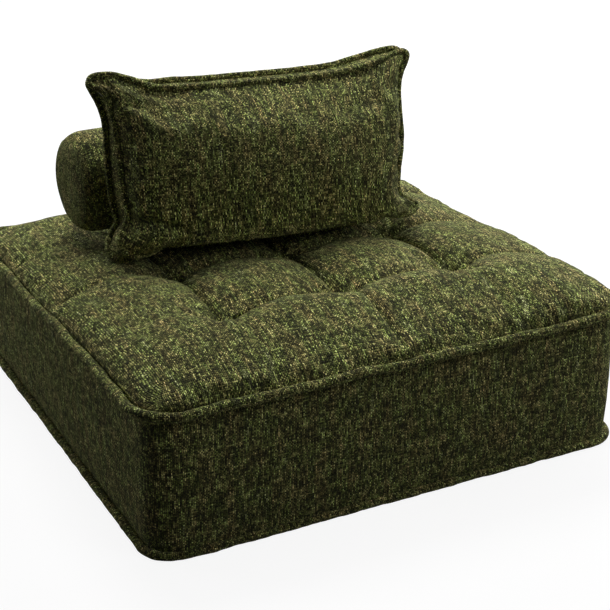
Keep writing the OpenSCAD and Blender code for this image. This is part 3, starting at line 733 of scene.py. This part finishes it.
twine, tree, shader = new_finish("waxed_twine", Roughness=0.6, Specular_IOR_Level=0.3)
lay = put(tree, "TexWave", {"Vector": cloth_place(tree), "Scale": 900.0, "Distortion": 2.0},
          bands_direction="DIAGONAL")
dye(tree, shader, shades(tree, lay, [(0.2, (0.020, 0.021, 0.011)), (0.8, (0.06, 0.062, 0.03))]),
    lay, 0.0002)
fit(joined(ties), "tuft_twines", "seat_module", "twine", twine, "tuft_ties")

# Side band of the cover. One strip of chenille round the seat from the bottom seam to the
# top seam, drawn smooth over the side foam, with faint soft folds.
base_half = 0.4845
bottom_seam_z = 0.0090
band_top = seam_z - cover_t - 0.0002


def outline(share, half):
    """Place and outward direction on the seat's outline, from the middle of the front side
    anticlockwise, at a half width."""
    straight = 2 * corner_c
    bend = half - corner_c
    quarter = straight + pi / 2 * bend
    along = (share % 1) * 4 * quarter
    full = np.floor(along / quarter + 1e-9)
    side, rest = full % 4, along - full * quarter
    turn = np.clip((rest - straight / 2) / bend, 0, pi / 2)
    before = np.minimum(rest, straight / 2)
    after = np.clip(rest - straight / 2 - pi / 2 * bend, 0, None)
    x = np.where(rest < straight / 2, before, corner_c + bend * np.sin(turn))
    y = np.where(rest < straight / 2, -half, -corner_c - bend * np.cos(turn)) + after
    nx, ny = np.sin(turn), -np.cos(turn)
    c, s = np.cos(side * pi / 2), np.sin(side * pi / 2)
    return (np.column_stack([c * x - s * y, s * x + c * y]),
            np.column_stack([c * nx - s * ny, s * nx + c * ny]))


perimeter = 8 * corner_c + 2 * pi * (top_half - corner_c)
band, share = lay_cloth(640, 44, perimeter, band_top - bottom_seam_z)
height = share[:, 1]
bulge = np.interp(height, (0, 0.035, 0.1, 0.28, 0.52, 0.76, 0.90, 0.96, 1),
                  (0, 0.001, 0.0035, 0.0058, 0.0054, 0.0046, 0.0036, 0.0016, top_half - base_half))
place, outward = outline(share[:, 0], base_half)
points = np.column_stack([place + outward * bulge[:, None],
                          bottom_seam_z + height * (band_top - bottom_seam_z)])
folds = (0.0030 * drift(points * (1, 1, 0.3), 0.10, 5)
         + 0.0016 * drift(points * (1, 1, 0.5), 0.035, 9)
         + 0.0012 * drift(points * (1, 1, 2.5), 0.05, 12) * unit(1 - height * 4))
folds *= np.sin(np.pi * unit(height)) ** 0.5
points[:, :2] += outward * folds[:, None]
points[:, 2] -= droop(*points[:, :2].T) * height
move_points(band, points)
close_seams(band)
thicken(band, cover_t)
fit(band, "side_band", "seat_module", "side_fabric", chenille("band_chenille", 3.3, streak=0.7),
    "seat_cover_sides")

# Dust cover. Thin black nonwoven cloth with a pattern of pressed dots, stapled flat
# under the lower rails.
under_cloth, share = lay_cloth(120, 120, 0.948, 0.948)
place = (share - 0.5) * 0.9484
sag = np.prod(np.sin(np.pi * share), axis=1)
ripple = 0.0002 * sag * drift(np.column_stack([place, sag]), 0.12)
move_points(under_cloth, np.column_stack([place, 0.0063 + ripple]))
thicken(under_cloth, -0.0006)
nonwoven, tree, shader = new_finish("black_nonwoven", Roughness=0.9, Specular_IOR_Level=0.2)
place = cloth_place(tree)
fibres = cloudy(tree, place, 900.0, 4.0, Distortion=3.0)
dots = put(tree, "TexVoronoi", {"Vector": place, "Scale": 500.0, "Randomness": 0.15})
pressed = calc(tree, "MINIMUM", times(tree, dots, 2.4), 1.0)
dye(tree, shader, shades(tree, fibres, [(0.3, (0.006, 0.006, 0.007)), (0.7, (0.03, 0.03, 0.031))]),
    calc(tree, "MULTIPLY_ADD", fibres, 0.4, pressed), 0.0002)
fit(under_cloth, "under_cloth", "seat_module", "dust_cloth", nonwoven, "dust_cover")

# Rolled welts of the seat. Tubes of the same chenille, rolled round a cord and sewn in at
# the top and bottom seams by hand, so they wander a little and vary in thickness.


def roll_welt(line, outward, upward, radius, waver, seed):
    """A closed rolled welt along a closed line of points."""
    steps, around = len(line), 12
    length = np.linalg.norm(np.roll(line, -1, 0) - line, axis=1).sum()
    piece, share = lay_cloth(steps, around, length, 2 * pi * radius)
    place = np.rint(share[:, 0] * steps).astype(int) % steps
    turn = 2 * pi * share[:, 1]
    sway = waver * np.column_stack([drift(line, 0.06, seed), drift(line, 0.06, seed + 7)])
    fat = 1 + 0.14 * drift(line, 0.03, seed + 3) + 0.09 * drift(line, 0.012, seed + 5)
    centre = line + outward * sway[:, :1] + upward * sway[:, 1:]
    ring = outward[place] * np.cos(turn)[:, None] + upward[place] * np.sin(turn)[:, None]
    move_points(piece, centre[place] + ring * (radius * fat[place])[:, None])
    return close_seams(piece, 0.00005)


def seat_welt(half, z, radius, waver, seed, hang=0):
    """A welt round the seat, which hangs with the top seam or runs level."""
    steps = 900
    place, outward = outline(np.arange(steps) / steps, half)
    line = np.column_stack([place, z - hang * droop(*place.T)])
    return roll_welt(line, np.column_stack([outward, np.zeros(steps)]),
                     np.tile((0.0, 0.0, 1.0), (steps, 1)), radius, waver, seed)


fit(seat_welt(0.5005, seam_z - cover_t / 2, 0.0092, 0.0044, 1.0, hang=1), "top_welt",
    "seat_module", "cover_fabric", chenille("top_welt_chenille", 7.7), "seat_welt_top")
fit(seat_welt(base_half + 0.0075, bottom_seam_z - 0.0005, 0.0078, 0.0018, 2.0), "bottom_welt",
    "seat_module", "side_fabric", chenille("bottom_welt_chenille", 9.1), "seat_welt_bottom")

# Pillow. A boxed cushion of loose fibre: a full front panel, a flatter back panel and a
# narrow band between two rolled welts. It leans on the bolster, its filling has sunk into
# a belly, and its four ears stick out, the lower two curled on the seat.
pillow_w, pillow_h = 0.668, 0.336
pillow_welt_r = 0.006
pillow_stand = np.array(Matrix.Translation((-0.004, 0.080, 0.507475))
                        @ Matrix.Rotation(radians(-3.8), 4, "Z")
                        @ Matrix.Rotation(radians(-15.2), 4, "X"))

# The two seams in the pillow's own frame, in millimetres: X along it, Y to its back, Z up.
# Each is four runs from ear to ear: bottom, right, top and left.
front_seam = (
    ((-325, -36, -150), (-318, -38, -160), (-306, -40, -167), (-288, -42, -168), (-264, -38, -164),
     (-230, -28, -154), (-150, -24, -136), (-60, -24, -133), (60, -24, -133), (150, -24, -136),
     (222, -25, -154), (262, -28, -166), (292, -24, -169), (317, -12, -167)),
    ((328, -4, -162), (332, 0, -154), (321, 0, -145), (305, -5, -136), (288, -14, -124),
     (281, -24, -105), (286, -27, -70), (295, -26, -35), (300, -26, 6), (301, -26, 58),
     (304, -24, 92), (317, -19, 126), (331, -14, 146)),
    ((336, -12, 160), (328, -12, 167), (312, -14, 166), (290, -18, 158), (244, -24, 147.6),
     (198, -25, 140), (120, -25, 136), (0, -25, 138), (-125, -25, 141.5), (-190, -25, 146),
     (-226, -25, 153), (-263, -23, 169), (-293, -18, 180), (-315, -14, 183)),
    ((-334, -12, 181), (-341, -13, 173), (-336, -17, 165), (-320, -23, 153), (-311, -25, 134),
     (-307, -25, 110), (-304, -25, 80), (-304, -25, 38), (-304, -25, -20), (-302, -25, -68),
     (-301, -26, -90), (-310, -30, -107), (-321, -33, -123), (-327, -34, -138)))
back_seam = (
    ((-339, 14, -154), (-335, 4, -168), (-325, -4, -178), (-306, -4, -182), (-278, 8, -172),
     (-150, 24, -136), (-60, 24, -133), (60, 24, -133), (150, 24, -136), (240, 20, -154),
     (290, 10, -163), (312, 8, -163)),
    ((324, 14, -155), (324, 20, -146), (312, 22, -138), (296, 24, -124), (286, 26, -100),
     (290, 26, -40), (297, 27, 30), (304, 25, 90), (316, 20, 130), (325, 12, 156)),
    ((328, 8, 168), (318, 9, 174), (300, 14, 174), (276, 20, 171), (247, 24, 165.5),
     (178, 25, 154.5), (100, 25, 152), (0, 25, 153.5), (-106, 25, 155.5), (-168, 25, 159),
     (-210, 25, 160), (-262, 22, 168), (-296, 15, 176), (-318, 8, 180)),
    ((-333, 6, 177), (-338, 8, 168), (-331, 15, 153), (-319, 22, 129), (-311, 25, 100),
     (-311, 25, 67), (-315, 25, 19), (-317, 25, -39), (-313, 27, -83), (-309, 34, -104),
     (-320, 34, -119), (-332, 28, -137)))


def rounded_line(points, steps):
    """A smooth closed line through points, with the given number of steps per run."""
    ways = np.array(points, float)
    fine = []
    for one, two, three, four in zip(np.roll(ways, 1, 0), ways, np.roll(ways, -1, 0),
                                     np.roll(ways, -2, 0)):
        for t in np.arange(steps) / steps:
            fine.append(0.5 * (2 * two + (three - one) * t
                               + (2 * one - 5 * two + 4 * three - four) * t * t
                               + (3 * two - one - 3 * three + four) * t ** 3))
    return np.array(fine)


def evenly(line, count, closed=False):
    """Points at even distances along a line."""
    if closed:
        line = np.vstack([line, line[:1]])
    run = np.concatenate([[0], np.cumsum(np.linalg.norm(np.diff(line, axis=0), axis=1))])
    at = np.linspace(0, run[-1], count, endpoint=not closed)
    return np.column_stack([np.interp(at, run, line[:, k]) for k in range(3)])


def seam_runs(seam, columns, rows):
    """The four runs of a seam as even points, and the whole seam as one closed line."""
    steps = 24
    whole = rounded_line([p for run in seam for p in run], steps) / 1000
    ends = np.cumsum([0] + [len(run) * steps for run in seam])
    around = np.vstack([whole, whole[:1]])
    runs = [evenly(around[ends[k]:ends[k + 1] + 1], count + 1)
            for k, count in enumerate((columns, rows, columns, rows))]
    return runs, whole


top_grid = np.empty((top_steps + 1, top_steps + 1))
top_grid[tuple(np.rint(share_of_top[:, ::-1] * top_steps).astype(int).T)] = top_skin[:, 2]


def seat_under(x, y):
    """Height of the seat's own top panel under a place."""
    i, j = (np.clip((way / top_half + 1) * top_steps / 2, 0, top_steps - 0.001) for way in (x, y))
    i0, j0 = i.astype(int), j.astype(int)
    p, q = i - i0, j - j0
    return ((1 - p) * (1 - q) * top_grid[j0, i0] + p * (1 - q) * top_grid[j0, i0 + 1]
            + (1 - p) * q * top_grid[j0 + 1, i0] + p * q * top_grid[j0 + 1, i0 + 1])


def stood(local, stand):
    """Points of a piece's own frame, put where it stands."""
    return local @ stand[:3, :3].T + stand[:3, 3]


def on_seat(local, room=0.0008):
    """Puts points of the pillow's own frame in their place, pressed off the roll and seat."""
    points = stood(local, pillow_stand)
    off_y, off_z = points[:, 1] - bolster_at.y, points[:, 2] - bolster_at.z
    off = np.hypot(off_y, off_z)
    beside = unit((bolster_half + 0.01 - np.abs(points[:, 0])) / 0.01)
    push = np.maximum(bolster_r + room - off, 0) * beside / off
    points[:, 1] += off_y * push
    points[:, 2] += off_z * push
    lowest = seat_under(points[:, 0], points[:, 1]) + room
    over = points[:, 2] - lowest
    soft = 0.004
    pressed = soft * np.exp(np.minimum(over, soft) / soft - 1)
    points[:, 2] = lowest + np.where(over > soft, over, pressed)
    return points


def crease(local, ends, width):
    """How near points lie to a line drawn on the panel, from 0 to 1, fading at its ends."""
    start, end = (np.array(p) / 1000 for p in ends)
    way = end - start
    flat = local[:, (0, 2)] - start
    along = flat @ way / (way @ way)
    off = np.abs(flat[:, 0] * way[1] - flat[:, 1] * way[0]) / np.linalg.norm(way)
    return bell(off, width) * unit(4 * along) * unit(4 * (1 - along))


def panel_form(seam, side, fullness, seed, share, columns, rows):
    """A panel filled in between its four seam runs and blown up like a cushion. The front
    one, whose side is -1, also has its belly, its cheek and its creases."""
    bottom, right, top, left = seam_runs(seam, columns, rows)[0]
    top, left = top[::-1], left[::-1]
    s, t = share[:, :1], share[:, 1:]
    i = np.rint(share[:, 0] * columns).astype(int)
    j = np.rint(share[:, 1] * rows).astype(int)
    local = ((1 - t) * bottom[i] + t * top[i] + (1 - s) * left[j] + s * right[j]
             - ((1 - s) * (1 - t) * bottom[0] + s * (1 - t) * bottom[-1]
                + (1 - s) * t * top[0] + s * t * top[-1]))
    u, v = (2 * share - 1).T
    full = (1 - u ** 2) ** 0.5 * (1 - v ** 2) ** 0.72
    sag = unit((1 - v) / 2) ** 1.2
    blown = fullness * (0.74 + 0.56 * sag)
    if side < 0:
        belly = bell(v + 0.84, 0.30) * (1 - u ** 4) * unit(full * 2.3)
        local[:, 2] -= 0.064 * belly
        local[:, 1] -= 0.006 * belly
        cheek = bell(local[:, 0] + 0.266, 0.040) * bell(local[:, 2] + 0.140, 0.026)
        local[:, 1] -= 0.012 * cheek * unit(3 * full)
        folds = sum(crease(local, ends, width) * depth for ends, width, depth in (
            (((-306, -84), (-190, -134)), 0.008, 0.019), (((-300, 120), (-222, 128)), 0.008, 0.003),
            (((296, 112), (236, 96)), 0.010, 0.003), (((262, -118), (300, -140)), 0.008, 0.006)))
        local[:, 1] += folds * unit(2 * full)
    gathers = unit(1 - np.abs(1 - np.abs(v)) / 0.22) * drift(
        np.column_stack([local[:, 0], 0 * s[:, 0], 0.2 * v]), 0.022, seed + 9)
    local[:, 1] += side * full * (blown + 0.0045 * drift(local, 0.11, seed)
                                  + 0.0030 * drift(local, 0.045, seed + 4) + 0.0016 * gathers)
    edge = np.minimum((1 - np.abs(u)) * pillow_w, (1 - np.abs(v)) * pillow_h) / 2
    local[:, 1] -= side * 0.0050 * bell(edge, 0.007)
    return local


cloth_t = 0.0025
pillow_columns, pillow_rows = 132, 72
panels = []
for seam, side, fullness, seed in ((front_seam, -1, 0.078, 11.0), (back_seam, 1, 0.038, 17.0)):
    panel, share = lay_cloth(pillow_columns, pillow_rows, pillow_w, pillow_h)
    form = panel_form(seam, side, fullness, seed, share, pillow_columns, pillow_rows)
    move_points(panel, on_seat(form))
    if side > 0:
        turn_over(panel)
    border = np.max(np.abs(2 * share - 1), axis=1) > 0.999
    settle(panel, border.astype(float), 3.0, 0.010, slack=0.04)
    settled = (points_of(panel) - pillow_stand[:3, 3]) @ pillow_stand[:3, :3]
    move_points(panel, on_seat(settled))
    panels.append(settled)
    thicken(panel, cloth_t)
    name = "front" if side < 0 else "back"
    fit(panel, f"pillow_{name}_face", "pillow", "cover_fabric",
        chenille(name + "_chenille", 13.9 + seed), f"pillow_{name}_panel")

# Filling of the pillow. One closed bag of loose polyester fibre in a thin cloth, just
# inside the panels and held by nothing but them.
u, v = (2 * share - 1).T
inner = unit(((1 - u ** 2) * (1 - v ** 2)) * 9)[:, None] ** 0.5
middle = (panels[0] + panels[1]) / 2
halves = []
for side, form in zip((-1, 1), panels):
    half, share = lay_cloth(pillow_columns, pillow_rows, pillow_w, pillow_h)
    way = middle - form
    depth = np.maximum(np.linalg.norm(way, axis=1, keepdims=True), 1e-6)
    points = middle - way * np.maximum(1 - 0.026 / depth, 0) * inner
    points *= (0.965, 1, 0.93)
    move_points(half, on_seat(points, 0.004))
    if side > 0:
        turn_over(half)
    halves.append(half)
filling = close_seams(joined(halves), 0.0001)
fit(filling, "pillow_fibre", "pillow", "fibre", wadding, "pillow_filling")


def seam_line(seam, steps):
    """A seam as one closed line, with the direction away from the pillow at each point."""
    line = evenly(seam_runs(seam, 10, 10)[1], steps, closed=True)
    ahead = np.roll(line, -3, 0) - np.roll(line, 3, 0)
    out = np.column_stack([ahead[:, 2], np.zeros(steps), -ahead[:, 0]])
    return line, out / np.linalg.norm(out, axis=1, keepdims=True)


seam_steps = 560
for seam, name, node in ((front_seam, "pillow_face_welt", "pillow_front_welt"),
                         (back_seam, "pillow_rear_welt", "pillow_back_welt")):
    line, out = seam_line(seam, seam_steps)
    turn = pillow_stand[:3, :3]
    welt = roll_welt(on_seat(line, pillow_welt_r + 0.0008), out @ turn.T,
                     np.tile((0.0, 1.0, 0.0), (seam_steps, 1)) @ turn.T, pillow_welt_r, 0.0009,
                     20.0 + len(name))
    fit(welt, name, "pillow", "side_fabric", chenille(name + "_chenille", 21.0 + len(name)), node)

gusset, share = lay_cloth(seam_steps, 10, 1.95, 0.05)
front_line, out = seam_line(front_seam, seam_steps)
back_line = seam_line(back_seam, seam_steps)[0]
place = np.rint(share[:, 0] * seam_steps).astype(int) % seam_steps
across = share[:, 1:]
local = front_line[place] * (1 - across) + back_line[place] * across - out[place] * 0.0042
move_points(gusset, on_seat(local))
close_seams(gusset)
thicken(gusset, cloth_t)
fit(gusset, "pillow_side_band", "pillow", "side_fabric", chenille("gusset_chenille", 29.3),
    "pillow_gusset")

# Bolster. A foam roll in a tight chenille wrap with sewn-in round ends; it lies on the back
# of the seat and the pillow leans on it.
bolster_edge = 0.050
seam_at = bolster_half - bolster_edge + bolster_edge * pi / 4


def roll_profile(distance):
    """Distance along the roll and radius, for a distance along its skin from the middle."""
    straight = bolster_half - bolster_edge
    turn = np.clip((np.abs(distance) - straight) / bolster_edge, 0, pi / 2)
    beyond = np.clip(np.abs(distance) - straight - bolster_edge * pi / 2, 0, None)
    x = np.minimum(np.abs(distance), straight) + bolster_edge * np.sin(turn)
    radius = bolster_r - bolster_edge * (1 - np.cos(turn)) - beyond
    return np.sign(distance) * x, radius


wrap, share = lay_cloth(160, 140, 2 * seam_at, 2 * pi * bolster_r)
along, radius = roll_profile((share[:, 0] - 0.5) * 2 * seam_at)
turn = 2 * pi * share[:, 1]
points = np.column_stack([along, -radius * np.cos(turn), -radius * np.sin(turn)])
slack = 0.5 + 0.5 * drift(points * (0.35, 1, 1), 0.05, 31.0)
near_end = bell(np.abs(along) - 0.30, 0.04)
slack += 0.6 * near_end * np.abs(drift(points * (0.2, 1, 1), 0.03, 5))
zip_gap = unit(np.abs(turn - radians(150)) * bolster_r / 0.02 - 0.6)
points[:, 1:] *= (1 - 0.018 * slack * zip_gap)[:, None]
move_points(wrap, points + bolster_at)
close_seams(wrap)
thicken(wrap, cloth_t)
fit(wrap, "bolster_wrap_cloth", "bolster", "cover_fabric", chenille("wrap_chenille", 33.1),
    "bolster_wrap")

for side, name in ((-1, "left"), (1, "right")):
    cap, share = lay_cloth(60, 60, 0.26, 0.26)
    s, t = (2 * share - 1).T
    disc_y, disc_z = s * np.sqrt(1 - t * t / 2), t * np.sqrt(1 - s * s / 2)
    out = np.hypot(disc_y, disc_z)
    skin = bolster_half - bolster_edge + bolster_edge * pi / 2 + bolster_r - bolster_edge
    along, radius = roll_profile(skin - out * (skin - seam_at))
    ways = np.where(out > 1e-6, radius / np.maximum(out, 1e-6), 0)
    points = np.column_stack([side * along, disc_y * ways, disc_z * ways])
    hollow = 0.5 + 0.5 * drift(points * (1, 1, 0.4), 0.035, 40)
    points[:, 0] -= side * 0.004 * (1 - out ** 4) * hollow
    move_points(cap, points + bolster_at)
    close_seams(cap)
    thicken(cap, cloth_t)
    fit(cap, f"bolster_{name}_cap", "bolster", "side_fabric",
        chenille(f"{name}_cap_chenille", 37.0 + side), f"bolster_end_{name}")
core = fit(eased("bolster_foam", 0.002), "bolster_core", "bolster", "foam", foam, "bolster_foam")

# Zips of the pillow and the bolster. Woven tape, a row of moulded teeth that hook into each
# other, and a cast slider with its pull, sewn under the pillow and low behind the roll.
tape_cloth = ribbon("zip_ribbon", (0.022, 0.024, 0.014), (0.070, 0.074, 0.040), 0.003, 0.0009)
moulded, tree, shader = new_finish("zip_teeth_plastic", Roughness=0.38, Specular_IOR_Level=0.5)
cloud = cloudy(tree, own_place(tree), 900.0, 3.0)
dye(tree, shader, shades(tree, cloud, [(0.3, (0.020, 0.021, 0.013)), (0.7, (0.045, 0.047, 0.030))]),
    cloud, 0.00005)
bronze = plated_steel("aged_bronze", (0.36, 0.27, 0.15), 0.40)
tape_width = 0.024
tooth_pitch = 0.0016


def tooth():
    """One moulded tooth: a rounded block with a nib that hooks into the next one."""
    let_go()
    bpy.ops.mesh.primitive_cube_add(size=1)
    piece = bpy.context.object
    open_mesh(piece)
    bpy.ops.mesh.subdivide(number_cuts=1)
    bpy.ops.object.mode_set(mode="OBJECT")
    points = points_of(piece)
    points *= (0.0011, 0.0032, 0.0011)
    points[:, 0] *= np.where(points[:, 1] > 0.001, 1.35, 1)
    points[:, 2] *= np.where(points[:, 1] > 0.001, 0.8, 1)
    move_points(piece, points)
    soften = piece.modifiers.new("ease", "BEVEL")
    soften.width, soften.segments = 0.0002, 1
    apply_all(piece)
    return piece


def sew_zip(body, turned, length, bow):
    """A zip that lies against its cloth, along X of its place, its face towards -Z."""
    stand = np.array(turned)
    stand[:3, 3] = np.mean(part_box(body + "_zip_tape"), axis=0)
    tape, share = lay_cloth(90, 8, length, tape_width)
    x, y = ((share - 0.5) * (length, tape_width)).T
    gap = 0.0004 * bell(y, 0.0008)
    local = np.column_stack([x, -y, bow * y * y * 0.5 + gap])
    move_points(tape, stood(local, stand))
    thicken(tape, 0.0005)
    fit(tape, body + "_zip_ribbon", body, "zip_tape", tape_cloth, body + "_zip_tape")
    one = tooth()
    shape = points_of(one)
    row = []
    chain = length - 0.010
    for number in range(int(chain / tooth_pitch)):
        hand = 1 if number % 2 else -1
        local = shape * (1, hand, 1) + (
            tooth_pitch * (number + 0.5) - chain / 2, -0.0008 * hand, -0.0011)
        row.append(copy_of(one, stood(local, stand)))
    bpy.data.objects.remove(one)
    fit(joined(row), body + "_zip_teeth", body, "zip_chain", moulded, body + "_zip_chain")
    for part in ("slider", "pull"):
        node = f"{body}_zip_{part}"
        fit(eased(node, 0.0003, 3), node + "_cast", body + "_zip_runner", "zip_metal", bronze,
            node)


sew_zip("pillow", pillow_stand, 0.260, 0.0)
sew_zip("bolster", Matrix.Rotation(radians(60), 4, "X"), 0.480, 1 / bolster_r)

# Studio. A pale floor and a camera at the photograph's angle, under five large soft lamps:
# a strong one high above the back, nearly as strong a one low behind the seat's right, and
# weaker ones at its right, behind its left and in front.


def looked_at(tree):
    """One where the camera sees a surface itself, in a mirror or through glass, else zero."""
    seen = put(tree, "LightPath").node.outputs
    return calc(tree, "MAXIMUM", calc(tree, "MAXIMUM", seen["Is Camera Ray"],
                                      seen["Is Glossy Ray"]), seen["Is Transmission Ray"])


let_go()
bpy.ops.mesh.primitive_plane_add(size=24)
floor = bpy.context.object
floor.name = "studio_floor"
paint = bpy.data.materials.new("pale_floor")
paint.use_nodes = True
tree = paint.node_tree
tree.nodes.clear()
matt = put(tree, "BsdfDiffuse", {"Color": (0.15, 0.15, 0.15, 1)})
far = vector(tree, "LENGTH", own_place(tree)).node.outputs["Value"]
glow = put(tree, "Emission", {"Color": (1, 1, 1, 1), "Strength": times(
    tree, looked_at(tree), spread(tree, far, 1.0, 2.6, 0.90, 1.0))})
put(tree, "OutputMaterial", {"Surface": put(tree, "AddShader", {0: matt, 1: glow})})
floor.data.materials.append(paint)

world = bpy.data.worlds.new("studio_world")
bpy.context.scene.world = world
world.use_nodes = True
tree = world.node_tree
tree.nodes.clear()
put(tree, "OutputWorld", {"Surface": put(tree, "Background", {
    "Color": (1, 1, 1, 1), "Strength": spread(tree, looked_at(tree), 0.0, 1.0, 0.01, 1.0)})})

lamp_size, lamp_distance = 1.6, 3.2
lamps_aim = Vector((0, 0, 0.3))
for name, turn, rise, power in (("high_lamp", 0, 64, 58), ("right_lamp", 90, 45, 26),
                                ("rear_right_lamp", 45, 22, 54), ("rear_left_lamp", -45, 22, 15),
                                ("front_lamp", 150, 32, 15)):
    turn, rise = radians(turn), radians(rise)
    way = Vector((cos(rise) * sin(turn), cos(rise) * cos(turn),
                  sin(rise)))
    lamp = bpy.data.lights.new(name, "AREA")
    lamp.shape, lamp.size, lamp.energy = "DISK", lamp_size, power
    held = bpy.data.objects.new(name, lamp)
    bpy.context.scene.collection.objects.link(held)
    held.location = lamps_aim + way * lamp_distance
    held.rotation_euler = (-way).to_track_quat("-Z", "Y").to_euler()
    held.visible_camera = False

camera = bpy.data.objects.new("photo_camera", bpy.data.cameras.new("photo_camera"))
bpy.context.scene.collection.objects.link(camera)
camera.location = (-1.2350, -2.4860, 1.4105)
camera.rotation_euler = (radians(66.4), 0, radians(-27.35))
camera.data.sensor_width, camera.data.lens = 36, 86.96
bpy.context.scene.camera = camera
bpy.context.scene.view_settings.view_transform = "Standard"
